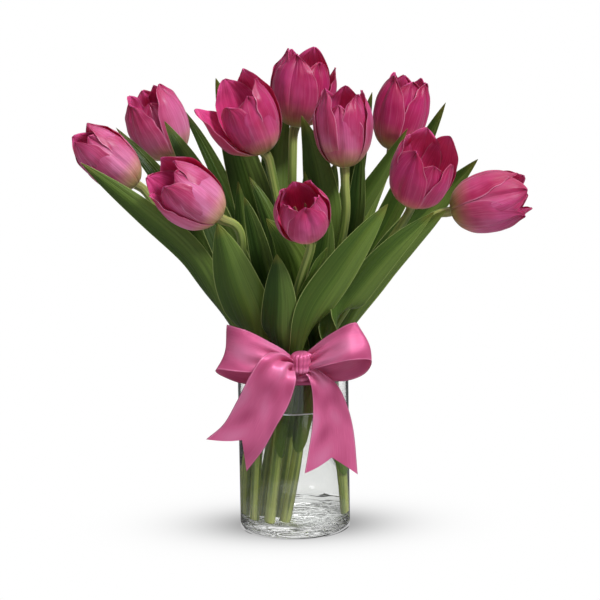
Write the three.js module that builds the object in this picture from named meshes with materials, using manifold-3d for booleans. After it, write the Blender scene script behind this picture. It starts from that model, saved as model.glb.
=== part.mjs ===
// Ten pink tulips standing in water in a clear glass cylinder vase, with a satin ribbon tied
// round the vase's mouth in a bow. Millimetres, +Z up, the front of the bunch faces -Y.
// The origin is the centre of the vase's flat underside.
//
// Every tulip is a stem, a bloom of six petals and a few leaves. A leaf is rolled round its own
// stem at its root, so at the vase's mouth each tulip keeps to a round space of its own, and the
// leaves open out above the rim.

import * as THREE from "three";
import { mergeVertices } from "three/addons/utils/BufferGeometryUtils.js";
import Module from "manifold-3d";

const wasm = await Module();
wasm.setup();

// Driving dimensions, in millimetres and degrees

const VASE = { radius: 44.5, height: 140, wall: 3, floor: 9, heel: 4.5, sides: 36 };
const WATER = { top: 101, gap: 0.35 };
const MOUTH_Z = 142; // just above the rim, where the tulips spread out
const CLEARANCE = 0.35; // between pieces that rest on or hug each other

// Below the mouth the stems lean to the left: their feet are the pattern at the mouth, squeezed and
// moved to that side, so that no two stems meet on the way.
const FEET = { squeeze: [0.5, 0.85], shift: [-17, 0] };

// bend: how far below its neck a stem turns to its bloom's axis.
const STEM = { foot: 4.1, neck: 3.5, bend: 14, sides: 6, steps: 9 };

// The plain holes in the water: room round a bare stem, and round a stem with leaves rolled on it.
// below and step are shares of the stem's length: how far a hole runs on under the foot, and how
// quickly it widens at the lowest leaf.
const HOLE = { bareRoom: 0.7, leafRoom: 2.6, topRadius: 8.8, below: 0.03, step: 0.004, sides: 8 };

const LEAF = {
  thickness: 0.8,
  rootRoom: 1.15, // from the stem's skin to the leaf's middle, at the root
  rootWrap: 95,
  mouthWrap: 58,
  widest: 0.42,
  rolledLength: 20, // at least this much of a leaf hugs its stem
  rows: [0, 0.095, 0.22, 0.36, 0.52, 0.73, 1],
  columns: [-1, -0.5, 0, 0.5, 1],
};
const PETAL = {
  thickness: 0.8,
  baseRadius: 4,
  baseHeight: 1.2,
  rows: [0, 0.15, 0.42, 0.74, 1],
  columns: [-1, -0.5, 0, 0.5, 1],
  widest: 0.5,
  rootShare: 0.24, // a petal's width at its root, as a share of its greatest width
  outer: { inset: 0, lift: 0, width: 0.345, reach: 58, tipArc: 1.2, taper: [1.9, 0.8] },
  inner: { inset: 1.6, lift: 1.3, width: 0.31, reach: 54, tipArc: 1.08, taper: [2.1, 0.72] },
  insetBy: 0.12, // the share of its length by which an inner petal has its whole inset
  lap: 0.55, // one edge of a petal stands out by this much, and the other in
  sway: 7, // how far tips turn about the bloom's axis, at most, in degrees
};
// The seat that the petals stand on, wider than the stem's neck by flare and again by swell.
const SEAT = { flare: 1.2, swell: 0.6, low: 0.6, shoulder: 3.2, top: 4.4, sides: 6 };
const RIBBON = {
  thickness: 0.8,
  bandLow: 126.5,
  bandHigh: 138.8,
  bandSwell: 1.1,
  bandGap: 0.45,
  columns: [-1, -0.5, 0, 0.5, 1],
  loopSteps: 13,
  tailSteps: 11,
};

// The ten tulips
// mouth: where the stem passes the vase's mouth, x and y. via: points the stem passes above it.
// neck: the top of the stem. tip: a point the bloom points at. long: petal length.
// belly: how round the cup is. close: how far the petals turn in near the top, in degrees.
// spin: turns the bloom about its own axis. The petals follow from petal 0, at the front before the
// spin, every other one outer and inner. open: how far each leans out, in degrees. rise: its share
// of the length. curl: how far its tip turns out.

const TULIPS = [
  { id: "01", mouth: [-29.7, 4.2], via: [[-72, 8, 210]], neck: [-122, 8, 280], tip: [-164, 0, 321],
    long: 69, belly: 0.74, close: 30, spin: 28,
    open: [0, 0, 2, 0, 1, 0], rise: [0.93, 1, 1, 1, 0.88, 0.98] },
  { id: "02", mouth: [-19.3, 23], via: [[-52, 38, 208]], neck: [-95, 52, 294], tip: [-118, 48, 352],
    long: 72, belly: 0.92, close: 30, spin: -50,
    open: [4, 0, 1, 0, 1, 0], rise: [0.93, 0.8, 1, 0.95, 0.95, 0.95] },
  { id: "03", mouth: [-24, -18], via: [[-38, -36, 200]], neck: [-55, -50, 263], tip: [-104, -70, 306],
    long: 72, belly: 0.86, close: 32, spin: 35, bend: 22,
    open: [0, 2, 4, 5, 6, 3], rise: [0.9, 0.94, 1.02, 1, 0.92, 0.9] },
  { id: "04", mouth: [-7, 2], via: [[-3, -1, 215]], neck: [-20, -11, 307], tip: [-43, -20, 364],
    long: 72, belly: 0.9, close: 26, spin: 22,
    open: [3, 4, 3, 5, 17, 8], rise: [0.84, 0.93, 1.06, 1, 0.95, 0.8], curl: [10, 0, 0, 0, 30, 10] },
  { id: "05", mouth: [2.6, 29.9], via: [[1, 40, 225]], neck: [5, 52, 318], tip: [15, 54, 382],
    long: 72, belly: 0.92, close: 30, spin: -20,
    open: [1, 6, 13, 1, 1, 1], rise: [0.98, 0.9, 0.9, 1.04, 1, 1] },
  { id: "06", mouth: [12, -5], via: [[32, -7, 205], [43, -13, 252]], neck: [43, -20, 296],
    tip: [42, -22, 358], long: 70, belly: 0.82, close: 28, spin: -8,
    open: [1, 1, 2, 1, 2, 1], rise: [0.84, 0.93, 0.98, 1, 1, 1.02] },
  { id: "07", mouth: [23, 19.3], via: [[52, 30, 218]], neck: [82, 38, 300], tip: [97, 40, 359],
    long: 68, belly: 0.8, close: 26, spin: -52,
    open: [1, 1, 1, 1, 1, 1], rise: [1, 0.96, 1, 1, 1, 1] },
  { id: "08", mouth: [19.3, -23], via: [[55, -32, 205]], neck: [94, -39, 270], tip: [112, -62, 326],
    long: 67, belly: 1.06, close: 24, spin: -42,
    open: [2, 4, 5, 8, 6, 4], rise: [0.97, 0.8, 0.84, 1, 1.02, 0.98] },
  { id: "09", mouth: [29.9, -2.6], foot: [32.5, 1], via: [[62, -2, 189], [97, 0, 237]],
    neck: [127, 0, 256], tip: [186, -8, 272], long: 72, belly: 0.88, close: 30, spin: 40,
    open: [4, 1, 1, 1, 2, 1], rise: [0.93, 1, 1, 1, 0.97, 1.02], curl: [20, 0, 0, 0, 0, 10] },
  { id: "10", mouth: [-3.7, -29.8], via: [[4, -44, 200]], neck: [13, -66, 250], tip: [6, -94, 292],
    long: 57, belly: 1, close: 42, spin: 10,
    open: [2, 2, 3, 2, 3, 2], rise: [0.9, 0.9, 1, 0.95, 1, 0.9], curl: [25, 30, 10, 20, 10, 30] },
];

// The leaves
// on: its tulip. root: the height it grows from its stem. side: the side of the stem, as a heading
// in degrees seen from above. rim: how far from the stem's axis it lies at the top of its rolled
// stretch. face: headings that its back turns to half way up and at the tip. wide: its greatest
// width. fold: how far its halves stand up there. path: points of its midrib above the rolled
// stretch, to the tip.

const LEAVES = [
  { id: "01a", on: "01", root: 64, side: 215, rim: 8.8, face: [240, 250], wide: 27, fold: 36,
    path: [[-58, -24, 190], [-79, -30, 229], [-114, -29, 263], [-163, -26, 304]] },
  { id: "01b", on: "01", root: 98, side: 80, rim: 6.6, face: [105, 100], wide: 20, fold: 40,
    path: [[-52, 17, 192], [-78, 22, 240], [-106, 29, 284], [-139, 38, 322]] },
  { id: "02a", on: "02", root: 96, side: 235, rim: 6.6, face: [262, 262], wide: 20, fold: 36,
    path: [[-31, 2, 190], [-36, -1, 230], [-39, -4, 262], [-41, -5, 284]] },
  { id: "02b", on: "02", root: 62, side: 40, rim: 8.8, face: [70, 80], wide: 18, fold: 40,
    path: [[-26, 44, 200], [-50, 60, 262], [-71, 70, 305], [-88, 72, 334]] },
  { id: "02c", on: "02", root: 162, side: 110, rim: 6.4, face: [110, 115], wide: 28, fold: 34,
    path: [[-50, 62, 205], [-62, 90, 248], [-66, 112, 280]] },
  { id: "03a", on: "03", root: 60, side: 240, rim: 8.8, face: [258, 258], wide: 41, fold: 38,
    path: [[-33, -43, 176], [-43, -57, 210], [-50, -63, 238], [-56, -65, 261]] },
  { id: "03b", on: "03", root: 150, side: 10, rim: 6.2, face: [70, 80], wide: 20, fold: 38,
    path: [[-17, -20, 196], [-23, -25, 228], [-29, -26, 252], [-36, -25, 275]] },
  { id: "03c", on: "03", root: 96, side: 95, rim: 6.6, face: [90, 90], wide: 28, fold: 38,
    path: [[-38, -6, 200], [-54, -3, 240], [-76, 8, 290], [-99, 16, 330]] },
  { id: "04a", on: "04", root: 66, side: 85, rim: 8.2, face: [80, 88], wide: 36, fold: 30,
    path: [[-14, 28, 200], [-27, 32, 255], [-37, 34, 290], [-58, 36, 361]] },
  { id: "04b", on: "04", root: 98, side: 250, rim: 6.6, face: [262, 265], wide: 22, fold: 36,
    path: [[-11, -9, 195], [-13, -13, 240], [-21, -13, 266], [-32, -9, 288]] },
  { id: "04c", on: "04", root: 176, side: -30, rim: 6.2, face: [-80, -85], wide: 16, fold: 36,
    path: [[8, -8, 232], [13, -8, 262], [12, -5, 291]] },
  { id: "05a", on: "05", root: 64, side: -60, rim: 8.8, face: [264, 264], wide: 35, fold: 34,
    path: [[12, 12, 186], [22, 6, 225], [25, 2, 262], [19, 3, 303], [10, 5, 334]] },
  { id: "05b", on: "05", root: 98, side: 140, rim: 6.6, face: [110, 95], wide: 28, fold: 34,
    path: [[-15, 52, 200], [-14, 68, 262], [-9, 86, 318], [4, 96, 372]] },
  { id: "05c", on: "05", root: 170, side: 45, rim: 6.2, face: [60, 70], wide: 28, fold: 34,
    path: [[17, 56, 212], [29, 76, 250], [38, 94, 282]] },
  { id: "06a", on: "06", root: 62, side: 240, rim: 8.8, face: [266, 268], wide: 31, fold: 30,
    path: [[8, -23, 182], [5, -32, 215], [-5, -41, 242], [-19, -45, 261]] },
  { id: "06b", on: "06", root: 98, side: 50, rim: 6.6, face: [78, 80], wide: 19, fold: 36,
    path: [[39, 7, 200], [51, 7, 250], [55, 8, 284], [58, 9, 314]] },
  { id: "07a", on: "07", root: 62, side: 20, rim: 8.8, face: [45, 60], wide: 25, fold: 36,
    path: [[53, 32, 195], [84, 46, 250], [108, 54, 298], [127, 54, 336]] },
  { id: "07b", on: "07", root: 98, side: 240, rim: 6.6, face: [275, 280], wide: 21, fold: 36,
    path: [[28, 17, 190], [44, 18, 238], [74, 17, 286], [94, 14, 321]] },
  { id: "07c", on: "07", root: 164, side: 120, rim: 6.4, face: [110, 100], wide: 20, fold: 36,
    path: [[42, 46, 235], [54, 60, 290], [68, 66, 344]] },
  { id: "08a", on: "08", root: 62, side: 262, rim: 8.8, face: [-80, -75], wide: 26, fold: 34,
    path: [[30, -43, 172], [51, -52, 203], [80, -58, 238], [111, -57, 266]] },
  { id: "08b", on: "08", root: 98, side: 110, rim: 6.6, face: [95, 95], wide: 22, fold: 34,
    path: [[18, -26, 190], [24, -32, 222], [28, -33, 246], [29, -31, 266]] },
  { id: "09a", on: "09", root: 40, side: -60, rim: 8.8, face: [-65, -75], wide: 26, fold: 34,
    path: [[48, -17, 178], [69, -20, 208], [95, -24, 238], [122, -25, 262]] },
  { id: "09b", on: "09", root: 98, side: 90, rim: 6.6, face: [90, 80], wide: 28, fold: 34,
    path: [[53, 13, 182], [84, 22, 225], [119, 28, 261], [151, 25, 294]] },
  { id: "10a", on: "10", root: 62, side: -40, rim: 8.8, face: [-75, -72], wide: 31, fold: 33,
    path: [[15, -58, 185], [36, -68, 220], [56, -73, 250], [75, -69, 275]] },
  { id: "10b", on: "10", root: 96, side: 235, rim: 6.6, face: [264, 264], wide: 30, fold: 36,
    path: [[-11, -52, 172], [-10, -61, 198], [-10, -66, 220], [-11, -68, 237]] },
  { id: "10c", on: "10", root: 186, side: -25, rim: 6.2, face: [-40, -50], wide: 13, fold: 50,
    path: [[20, -58, 222], [28, -65, 241]] },
];

// The bow: a knot on a smaller one under it, two loops and two tails. Each loop and tail is a strip
// between an upper and a lower edge. A tail's notch is a share of its length.

const BOW = {
  knot: { centre: [6, -56.5, 148.2], half: [8.4, 8.5, 8.9] },
  underKnot: { centre: [5, -50, 137], half: [7.2, 4.6, 6] },
  leftLoop: {
    upper: [[3, -53, 150], [-8, -58, 160], [-24, -66, 171], [-38, -71, 179], [-48, -66, 181],
      [-46, -56, 176], [-30, -51, 164], [-8, -50, 150], [3, -50, 146]],
    lower: [[3, -54, 139], [-8, -60, 139], [-24, -70, 143], [-44, -75, 146], [-59, -67, 146],
      [-55, -57, 138], [-37, -52, 130], [-10, -50, 132], [3, -50, 138]],
  },
  rightLoop: {
    upper: [[6, -53, 150], [15, -58, 159], [27, -66, 171], [40, -71, 180], [51, -66, 182],
      [50, -56, 176], [36, -51, 164], [15, -50, 150], [6, -50, 146]],
    lower: [[6, -54, 139], [14, -60, 143], [29, -69, 149], [46, -75, 154], [61, -67, 151],
      [57, -57, 139], [40, -52, 132], [16, -50, 133], [6, -50, 138]],
  },
  leftTail: {
    upper: [[2, -57, 149], [-12, -66, 159], [-24, -79, 158], [-34, -80, 144], [-44, -73, 122],
      [-55, -66, 101], [-69, -60, 88]],
    lower: [[3, -57, 139], [0, -64, 142], [1, -70, 134], [-4, -70, 118], [-14, -66, 100],
      [-24, -60, 80], [-38, -53, 59]],
    notch: 0.15,
  },
  rightTail: {
    upper: [[4, -56, 137], [11, -56, 138], [15, -59, 126], [15, -59, 103], [12, -58, 80], [8, -56, 58]],
    lower: [[8, -57, 146], [20, -57, 142], [34, -62, 131], [42, -59, 114], [47, -56, 91], [50, -52, 55]],
    notch: 0.1,
  },
};

// Small helpers

const rad = THREE.MathUtils.degToRad;
const lerp = THREE.MathUtils.lerp;
const at = (p) => new THREE.Vector3(p[0], p[1], p[2]);
const heading = (degrees) => new THREE.Vector3(Math.cos(rad(degrees)), Math.sin(rad(degrees)), 0);
const smooth = (x) => THREE.MathUtils.smoothstep(x, 0, 1);
const splineOf = (points) => new THREE.CatmullRomCurve3(points, false, "catmullrom", 0.5);
const evenly = (steps) => Array.from({ length: steps + 1 }, (_, i) => i / steps);

// The value at t of a line that runs smoothly through the keys, each [spot, value].
function through(keys, t) {
  const next = keys.findIndex(([spot]) => spot >= t);
  if (next < 0) return keys[keys.length - 1][1];
  if (next === 0) return keys[0][1];
  const [[t0, v0], [t1, v1]] = [keys[next - 1], keys[next]];
  return lerp(v0, v1, smooth((t - t0) / (t1 - t0)));
}

// The direction of a curve at arc share t.
function along(curve, t) {
  const step = 0.004;
  const [a, b] = [Math.max(0, t - step), Math.min(1, t + step)];
  return curve.getPointAt(b).sub(curve.getPointAt(a)).normalize();
}

// The part of v that is square to the unit vector n, as a unit vector.
const squareTo = (v, n) => v.clone().addScaledVector(n, -v.dot(n)).normalize();

// A closed mesh as a solid that can be cut and joined.
function solid(geometry) {
  const bare = new THREE.BufferGeometry();
  bare.setAttribute("position", geometry.getAttribute("position"));
  bare.setIndex(geometry.getIndex());
  const merged = mergeVertices(bare, 1e-4);
  return new wasm.Manifold(new wasm.Mesh({
    numProp: 3,
    vertProperties: merged.getAttribute("position").array,
    triVerts: new Uint32Array(merged.getIndex().array),
  }));
}

function geometryOf(shape) {
  const mesh = shape.getMesh();
  return new THREE.BufferGeometry()
    .setAttribute("position", new THREE.BufferAttribute(mesh.vertProperties, 3))
    .setIndex(new THREE.BufferAttribute(mesh.triVerts, 1));
}

// A closed geometry from points and triangles.
function geometryFrom(points, triangles) {
  const positions = new Float32Array(points.flatMap((p) => [p.x, p.y, p.z]));
  return new THREE.BufferGeometry()
    .setAttribute("position", new THREE.BufferAttribute(positions, 3))
    .setIndex(triangles);
}

// A thin closed sheet. surface(u, v) gives its middle, u from root to tip, v from edge to edge.
// With pointed, its last row is one point.
function sheet(rows, columns, surface, thickness, pointed) {
  const step = 0.01;
  const points = [];
  const faces = [[], []]; // indices of both faces' points, row by row
  rows.forEach((u, i) => {
    const single = pointed && i === rows.length - 1;
    const pair = [[], []];
    for (const v of single ? [0] : columns) {
      const un = pointed ? Math.min(u, 1 - 3 * step) : u;
      const du = surface(Math.min(1, un + step), v).sub(surface(Math.max(0, un - step), v));
      const dv = surface(un, Math.min(1, v + step)).sub(surface(un, Math.max(-1, v - step)));
      const normal = du.cross(dv).normalize();
      [1, -1].forEach((sign, face) => {
        pair[face].push(points.length);
        points.push(surface(u, v).addScaledVector(normal, (sign * thickness) / 2));
      });
    }
    faces[0].push(pair[0]);
    faces[1].push(pair[1]);
  });
  const triangles = [];
  faces.forEach((grid, face) => {
    const addTriangle = (a, b, c) => triangles.push(...(face === 0 ? [a, b, c] : [a, c, b]));
    for (let i = 0; i + 1 < grid.length; i++) {
      const [low, high] = [grid[i], grid[i + 1]];
      for (let j = 0; j + 1 < low.length; j++) {
        if (high.length === 1) {
          addTriangle(low[j], high[0], low[j + 1]);
        } else {
          addTriangle(low[j], high[j], high[j + 1]);
          addTriangle(low[j], high[j + 1], low[j + 1]);
        }
      }
    }
  });
  // The rim runs round the outline and joins the two faces.
  const outline = (grid) => [
    ...grid.map((row) => row[0]),
    ...grid[grid.length - 1].slice(1),
    ...grid.slice(0, -1).reverse().map((row) => row[row.length - 1]),
    ...grid[0].slice(1, -1).reverse(),
  ];
  const [front, back] = faces.map(outline);
  front.forEach((p, k) => {
    const next = (k + 1) % front.length;
    triangles.push(front[next], p, back[k], front[next], back[k], back[next]);
  });
  return geometryFrom(points, triangles);
}

// The point at arc share t of a curve, which runs straight on before its start.
function pointAt(curve, t) {
  if (t >= 0) return curve.getPointAt(t);
  return curve.getPointAt(0).addScaledVector(along(curve, 0), t * curve.getLength());
}

// A closed round bar along a curve, radius(t) thick.
function bar(curve, radius, sides, shares) {
  const points = [];
  const side = new THREE.Vector3(0, 1, 0);
  for (const t of shares) {
    const forward = along(curve, Math.max(0, t));
    const a = squareTo(side, forward);
    const b = forward.clone().cross(a);
    for (let k = 0; k < sides; k++) {
      const turn = (2 * Math.PI * k) / sides;
      const out = a.clone().multiplyScalar(Math.cos(turn)).addScaledVector(b, Math.sin(turn));
      points.push(pointAt(curve, t).addScaledVector(out, radius(t)));
    }
  }
  const triangles = [];
  const last = (shares.length - 1) * sides;
  for (let k = 0; k < sides; k++) {
    const next = (k + 1) % sides;
    for (let i = 0; i < last; i += sides)
      triangles.push(i + k, i + next, i + sides + next, i + k, i + sides + next, i + sides + k);
  }
  for (let k = 1; k + 1 < sides; k++) triangles.push(0, k + 1, k, last, last + k, last + k + 1);
  return geometryFrom(points, triangles);
}

// A solid of revolution from [radius, height] points that start and end on the axis.
function lathe(profile, sides) {
  const points = profile.map(([r, z]) => new THREE.Vector2(r, z));
  return new THREE.LatheGeometry(points, sides).rotateX(Math.PI / 2);
}

// Stems

function footOf(tulip) {
  if (tulip.foot) return tulip.foot;
  return tulip.mouth.map((value, i) => value * FEET.squeeze[i] + FEET.shift[i]);
}

const bloomAxis = (tulip) => at(tulip.tip).sub(at(tulip.neck)).normalize();

// A stem runs from the vase's floor through the mouth to its neck, where it meets the bloom squarely.
function stemCurve(tulip) {
  const [fx, fy] = footOf(tulip);
  const [mx, my] = tulip.mouth;
  const tilt = Math.atan(Math.hypot(mx - fx, my - fy) / (MOUTH_Z - VASE.floor));
  const foot = at([fx, fy, VASE.floor + CLEARANCE + STEM.foot * Math.sin(tilt)]);
  const mouth = at([mx, my, MOUTH_Z]);
  const neck = at(tulip.neck);
  const bent = neck.clone().addScaledVector(bloomAxis(tulip), -(tulip.bend ?? STEM.bend));
  return splineOf([foot, foot.clone().lerp(mouth, 0.5), mouth, ...tulip.via.map(at), bent, neck]);
}

const stemRadius = (t) => lerp(STEM.foot, STEM.neck, smooth(t / 0.9));

function stemGeometry(tulip) {
  return bar(stemCurve(tulip), stemRadius, STEM.sides, evenly(STEM.steps + tulip.via.length));
}

// The arc share at which a stem passes a height.
function shareAtHeight(curve, z) {
  let [low, high] = [0, 1];
  for (let k = 0; k < 30; k++) {
    const middle = (low + high) / 2;
    if (curve.getPointAt(middle).z < z) low = middle;
    else high = middle;
  }
  return (low + high) / 2;
}

// Leaves

// The midrib, the radius the leaf is rolled to at its root, and the arc share at which it stops
// hugging its stem.
function midrib(leaf) {
  const stem = stemCurve(TULIPS.find((t) => t.id === leaf.on));
  const low = shareAtHeight(stem, leaf.root);
  const high = shareAtHeight(stem, Math.max(MOUTH_Z, leaf.root + LEAF.rolledLength));
  const rolled = stemRadius(low) + LEAF.rootRoom;
  const hug = [0, 0.5, 1].map((s) => {
    const t = lerp(low, high, s);
    const out = squareTo(heading(leaf.side), along(stem, t));
    return stem.getPointAt(t).addScaledVector(out, lerp(rolled, leaf.rim, s));
  });
  const curve = splineOf([...hug, ...leaf.path.map(at)]);
  const hugged = hug[0].distanceTo(hug[1]) + hug[1].distanceTo(hug[2]);
  return { curve, rolled, hugged: hugged / curve.getLength() };
}

// The leaf's middle surface. Across, it is an arc that closes round the stem at the root and
// opens out above.
function leafSurface(leaf) {
  const { curve, rolled, hugged } = midrib(leaf);
  const widest = lerp(hugged, 1, LEAF.widest);
  const face = [[0, leaf.side], [hugged, leaf.side], [widest, leaf.face[0]], [1, leaf.face[1]]];
  // Half the angle of the arc, and half the width laid flat.
  const wrap = (t) => {
    if (t < hugged) return lerp(LEAF.rootWrap, LEAF.mouthWrap, t / hugged);
    return through([[hugged, LEAF.mouthWrap], [widest, leaf.fold], [1, leaf.fold * 0.5]], t);
  };
  const half = (t) => {
    if (t < hugged) return lerp(rolled, leaf.rim, t / hugged) * rad(wrap(t));
    if (t < widest) {
      return through([[hugged, leaf.rim * rad(LEAF.mouthWrap)], [widest, leaf.wide / 2]], t);
    }
    return (leaf.wide / 2) * (1 - ((t - widest) / (1 - widest)) ** 2) ** 0.85;
  };
  return (u, v) => {
    const forward = along(curve, u);
    const out = squareTo(heading(through(face, u)), forward);
    const across = forward.clone().cross(out);
    const angle = rad(wrap(u));
    const reach = half(u) / angle;
    return curve.getPointAt(u)
      .addScaledVector(across, reach * Math.sin(v * angle))
      .addScaledVector(out, reach * (Math.cos(v * angle) - 1));
  };
}

const leafGeometry = (leaf) => sheet(LEAF.rows, LEAF.columns, leafSurface(leaf), LEAF.thickness, true);

// Blooms, in their own frame: the axis is +Z, and petal 0 faces the viewer before the spin

// A petal's midline in the plane of its heading, as [distance from the axis, height] by share.
function petalProfile(tulip, k, kind) {
  const { belly, close } = tulip;
  const curl = tulip.curl ? tulip.curl[k] : 0;
  const length = tulip.long * tulip.rise[k];
  // The slope away from the axis, in degrees, by share of the length.
  const slopes = [
    [0, 84], [0.09, 68 * belly], [0.24, 37 * belly], [0.42, 13 * belly], [0.56, 1],
    [0.72, -close * 0.5], [0.87, -close + curl * 0.5], [1, -close * 0.4 + curl],
  ];
  const steps = 60;
  const line = [[PETAL.baseRadius, PETAL.baseHeight]];
  for (let i = 0; i < steps; i++) {
    const slope = rad(through(slopes, (i + 0.5) / steps));
    const [r, z] = line[i];
    line.push([r + (Math.sin(slope) * length) / steps, z + (Math.cos(slope) * length) / steps]);
  }
  return (u) => {
    const i = Math.min(steps - 1, Math.floor(u * steps));
    const [a, b] = [line[i], line[i + 1]];
    const r = lerp(a[0], b[0], u * steps - i) - kind.inset * smooth(u / PETAL.insetBy);
    return [r, lerp(a[1], b[1], u * steps - i) + kind.lift];
  };
}

// How wide a petal is at u, as a share of its greatest half width.
function petalShare(u, [bulge, point]) {
  const { widest, rootShare } = PETAL;
  if (u < widest) return lerp(rootShare, 1, Math.sin((Math.PI / 2) * (u / widest)) ** 0.9);
  return Math.max(0, 1 - ((u - widest) / (1 - widest)) ** bulge) ** point;
}

function petalSurface(tulip, index, k) {
  const kind = k % 2 === 1 ? PETAL.inner : PETAL.outer;
  const profile = petalProfile(tulip, k, kind);
  const halfWidth = tulip.long * kind.width * lerp(0.9, 1, tulip.belly);
  const reach = rad(kind.reach);
  const sway = PETAL.sway * Math.sin(2.3 * k + index);
  return (u, v) => {
    const [r, z] = profile(u);
    const curved = Math.max(PETAL.baseRadius, r) * through([[0, 1], [0.55, 0.97], [1, kind.tipArc]], u);
    const angle = v * Math.min((halfWidth * petalShare(u, kind.taper)) / curved, reach);
    const lapped = PETAL.lap * v * smooth(u / 0.3);
    const outward = r - curved + curved * Math.cos(angle) - PETAL.baseRadius + lapped;
    const sideways = curved * Math.sin(angle);
    const open = rad(tulip.open[k] * smooth(u / 0.4));
    const x = PETAL.baseRadius + outward * Math.cos(open) + z * Math.sin(open);
    const up = z * Math.cos(open) - outward * Math.sin(open);
    const turn = rad(60 * k + tulip.spin + sway * u ** 2);
    return new THREE.Vector3(
      x * Math.cos(turn) - sideways * Math.sin(turn),
      x * Math.sin(turn) + sideways * Math.cos(turn),
      up,
    );
  };
}

// The frame of a bloom: +Z along its axis, +X the side that faces the front.
function bloomFrame(tulip) {
  const axis = bloomAxis(tulip);
  const front = squareTo(new THREE.Vector3(0, -1, 0), axis);
  const frame = new THREE.Matrix4().makeBasis(front, axis.clone().cross(front), axis);
  return frame.setPosition(at(tulip.neck));
}

// Six petals on a small seat, which sits on the stem.
function bloomGeometry(tulip, index) {
  const radius = STEM.neck + SEAT.flare;
  const seat = lathe([
    [0, SEAT.low], [radius, SEAT.low], [radius + SEAT.swell, SEAT.shoulder], [0, SEAT.top],
  ], SEAT.sides);
  const petals = [0, 1, 2, 3, 4, 5].map((k) => {
    const surface = petalSurface(tulip, index, k);
    return solid(sheet(PETAL.rows, PETAL.columns, surface, PETAL.thickness, true));
  });
  const joined = wasm.Manifold.union([solid(seat), ...petals]);
  // Small voids that the petals close in between them are filled.
  const shells = joined.decompose().filter((shell) => shell.volume() > 0);
  return geometryOf(wasm.Manifold.union(shells));
}

// Vase and water

function vaseGeometry() {
  const { radius, height, wall, floor, heel } = VASE;
  const inside = radius - wall;
  const lip = wall * 0.3;
  const round = (cx, cz, r, from, to) => [0, 0.5, 1].map((s) => {
    const turn = rad(lerp(from, to, s));
    return [cx + r * Math.cos(turn), cz + r * Math.sin(turn)];
  });
  return lathe([
    [0, 0],
    ...round(radius - heel, heel, heel, -90, 0),
    ...round(radius - lip, height - lip, lip, 0, 90),
    ...round(inside + lip, height - lip, lip, 90, 180),
    ...round(inside - heel, floor + heel, heel, 0, -90),
    [0, floor],
  ], VASE.sides);
}

// The water fills the vase to its line, and each stem with the leaves rolled round it stands in a
// plain hole.
function waterGeometry() {
  const { floor, heel } = VASE;
  const inside = VASE.radius - VASE.wall - WATER.gap;
  const bottom = floor + WATER.gap;
  const body = lathe([
    [0, bottom], [inside - heel, bottom], [inside - heel * 0.3, bottom + heel * 0.3],
    [inside, bottom + heel], [inside, WATER.top], [0, WATER.top],
  ], VASE.sides);
  const holes = TULIPS.map((tulip) => {
    const stem = stemCurve(tulip);
    const roots = LEAVES.filter((leaf) => leaf.on === tulip.id).map((leaf) => leaf.root);
    const leafy = shareAtHeight(stem, Math.min(...roots, WATER.top));
    const end = shareAtHeight(stem, MOUTH_Z);
    const bare = leafy - HOLE.step;
    const room = (t) => {
      if (t <= bare) return STEM.foot + HOLE.bareRoom;
      const share = Math.max(0, (t - leafy) / (end - leafy));
      return lerp(STEM.foot, HOLE.topRadius, share) + HOLE.leafRoom;
    };
    const shares = [-HOLE.below, bare / 2, bare, bare + HOLE.step / 4, (leafy + end) / 2, end];
    return solid(bar(stem, room, HOLE.sides, shares));
  });
  return geometryOf(solid(body).subtract(wasm.Manifold.union(holes)));
}

// The ribbon: one satin strip tied round the mouth

// A strip between two edge lines, which may be notched at its far end.
function strip({ upper, lower, notch = 0 }, steps) {
  const [a, b] = [splineOf(upper.map(at)), splineOf(lower.map(at))];
  const surface = (u, v) => {
    const t = u * (1 - notch * (1 - Math.abs(v)));
    return a.getPoint(t).lerp(b.getPoint(t), (v + 1) / 2);
  };
  return solid(sheet(evenly(steps), RIBBON.columns, surface, RIBBON.thickness, false));
}

function ball({ centre, half }) {
  return solid(new THREE.SphereGeometry(1, 12, 7).scale(...half).translate(...centre));
}

function ribbonGeometry() {
  const { thickness, bandLow, bandHigh, bandSwell, bandGap } = RIBBON;
  const inside = VASE.radius + bandGap;
  const band = lathe([
    [inside, bandLow], [inside + thickness, bandLow],
    [inside + thickness + bandSwell, (bandLow + bandHigh) / 2],
    [inside + thickness, bandHigh], [inside, bandHigh], [inside, bandLow],
  ], VASE.sides);
  return geometryOf(wasm.Manifold.union([
    solid(band),
    ball(BOW.knot),
    ball(BOW.underKnot),
    strip(BOW.leftLoop, RIBBON.loopSteps),
    strip(BOW.rightLoop, RIBBON.loopSteps),
    strip(BOW.leftTail, RIBBON.tailSteps),
    strip(BOW.rightTail, RIBBON.tailSteps),
  ]));
}

// Materials and assembly

const clear = { metalness: 0, transparent: true };
const glass = new THREE.MeshStandardMaterial({ color: 0xf2f7f6, roughness: 0.05, opacity: 0.3, ...clear });
const still = new THREE.MeshStandardMaterial({ color: 0xe9f1f2, roughness: 0.03, opacity: 0.35, ...clear });
const satin = new THREE.MeshStandardMaterial({ color: 0xc5668c, roughness: 0.35, metalness: 0 });
const petalPink = new THREE.MeshStandardMaterial({ color: 0xb8447a, roughness: 0.5, metalness: 0 });
const stemGreen = new THREE.MeshStandardMaterial({ color: 0x74903f, roughness: 0.5, metalness: 0 });
const leafGreen = new THREE.MeshStandardMaterial({ color: 0x3c5a28, roughness: 0.5, metalness: 0 });

const bunch = new THREE.Group();

function add(name, geometry, material) {
  const mesh = new THREE.Mesh(geometry, material);
  mesh.name = name;
  bunch.add(mesh);
  return mesh;
}

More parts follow.
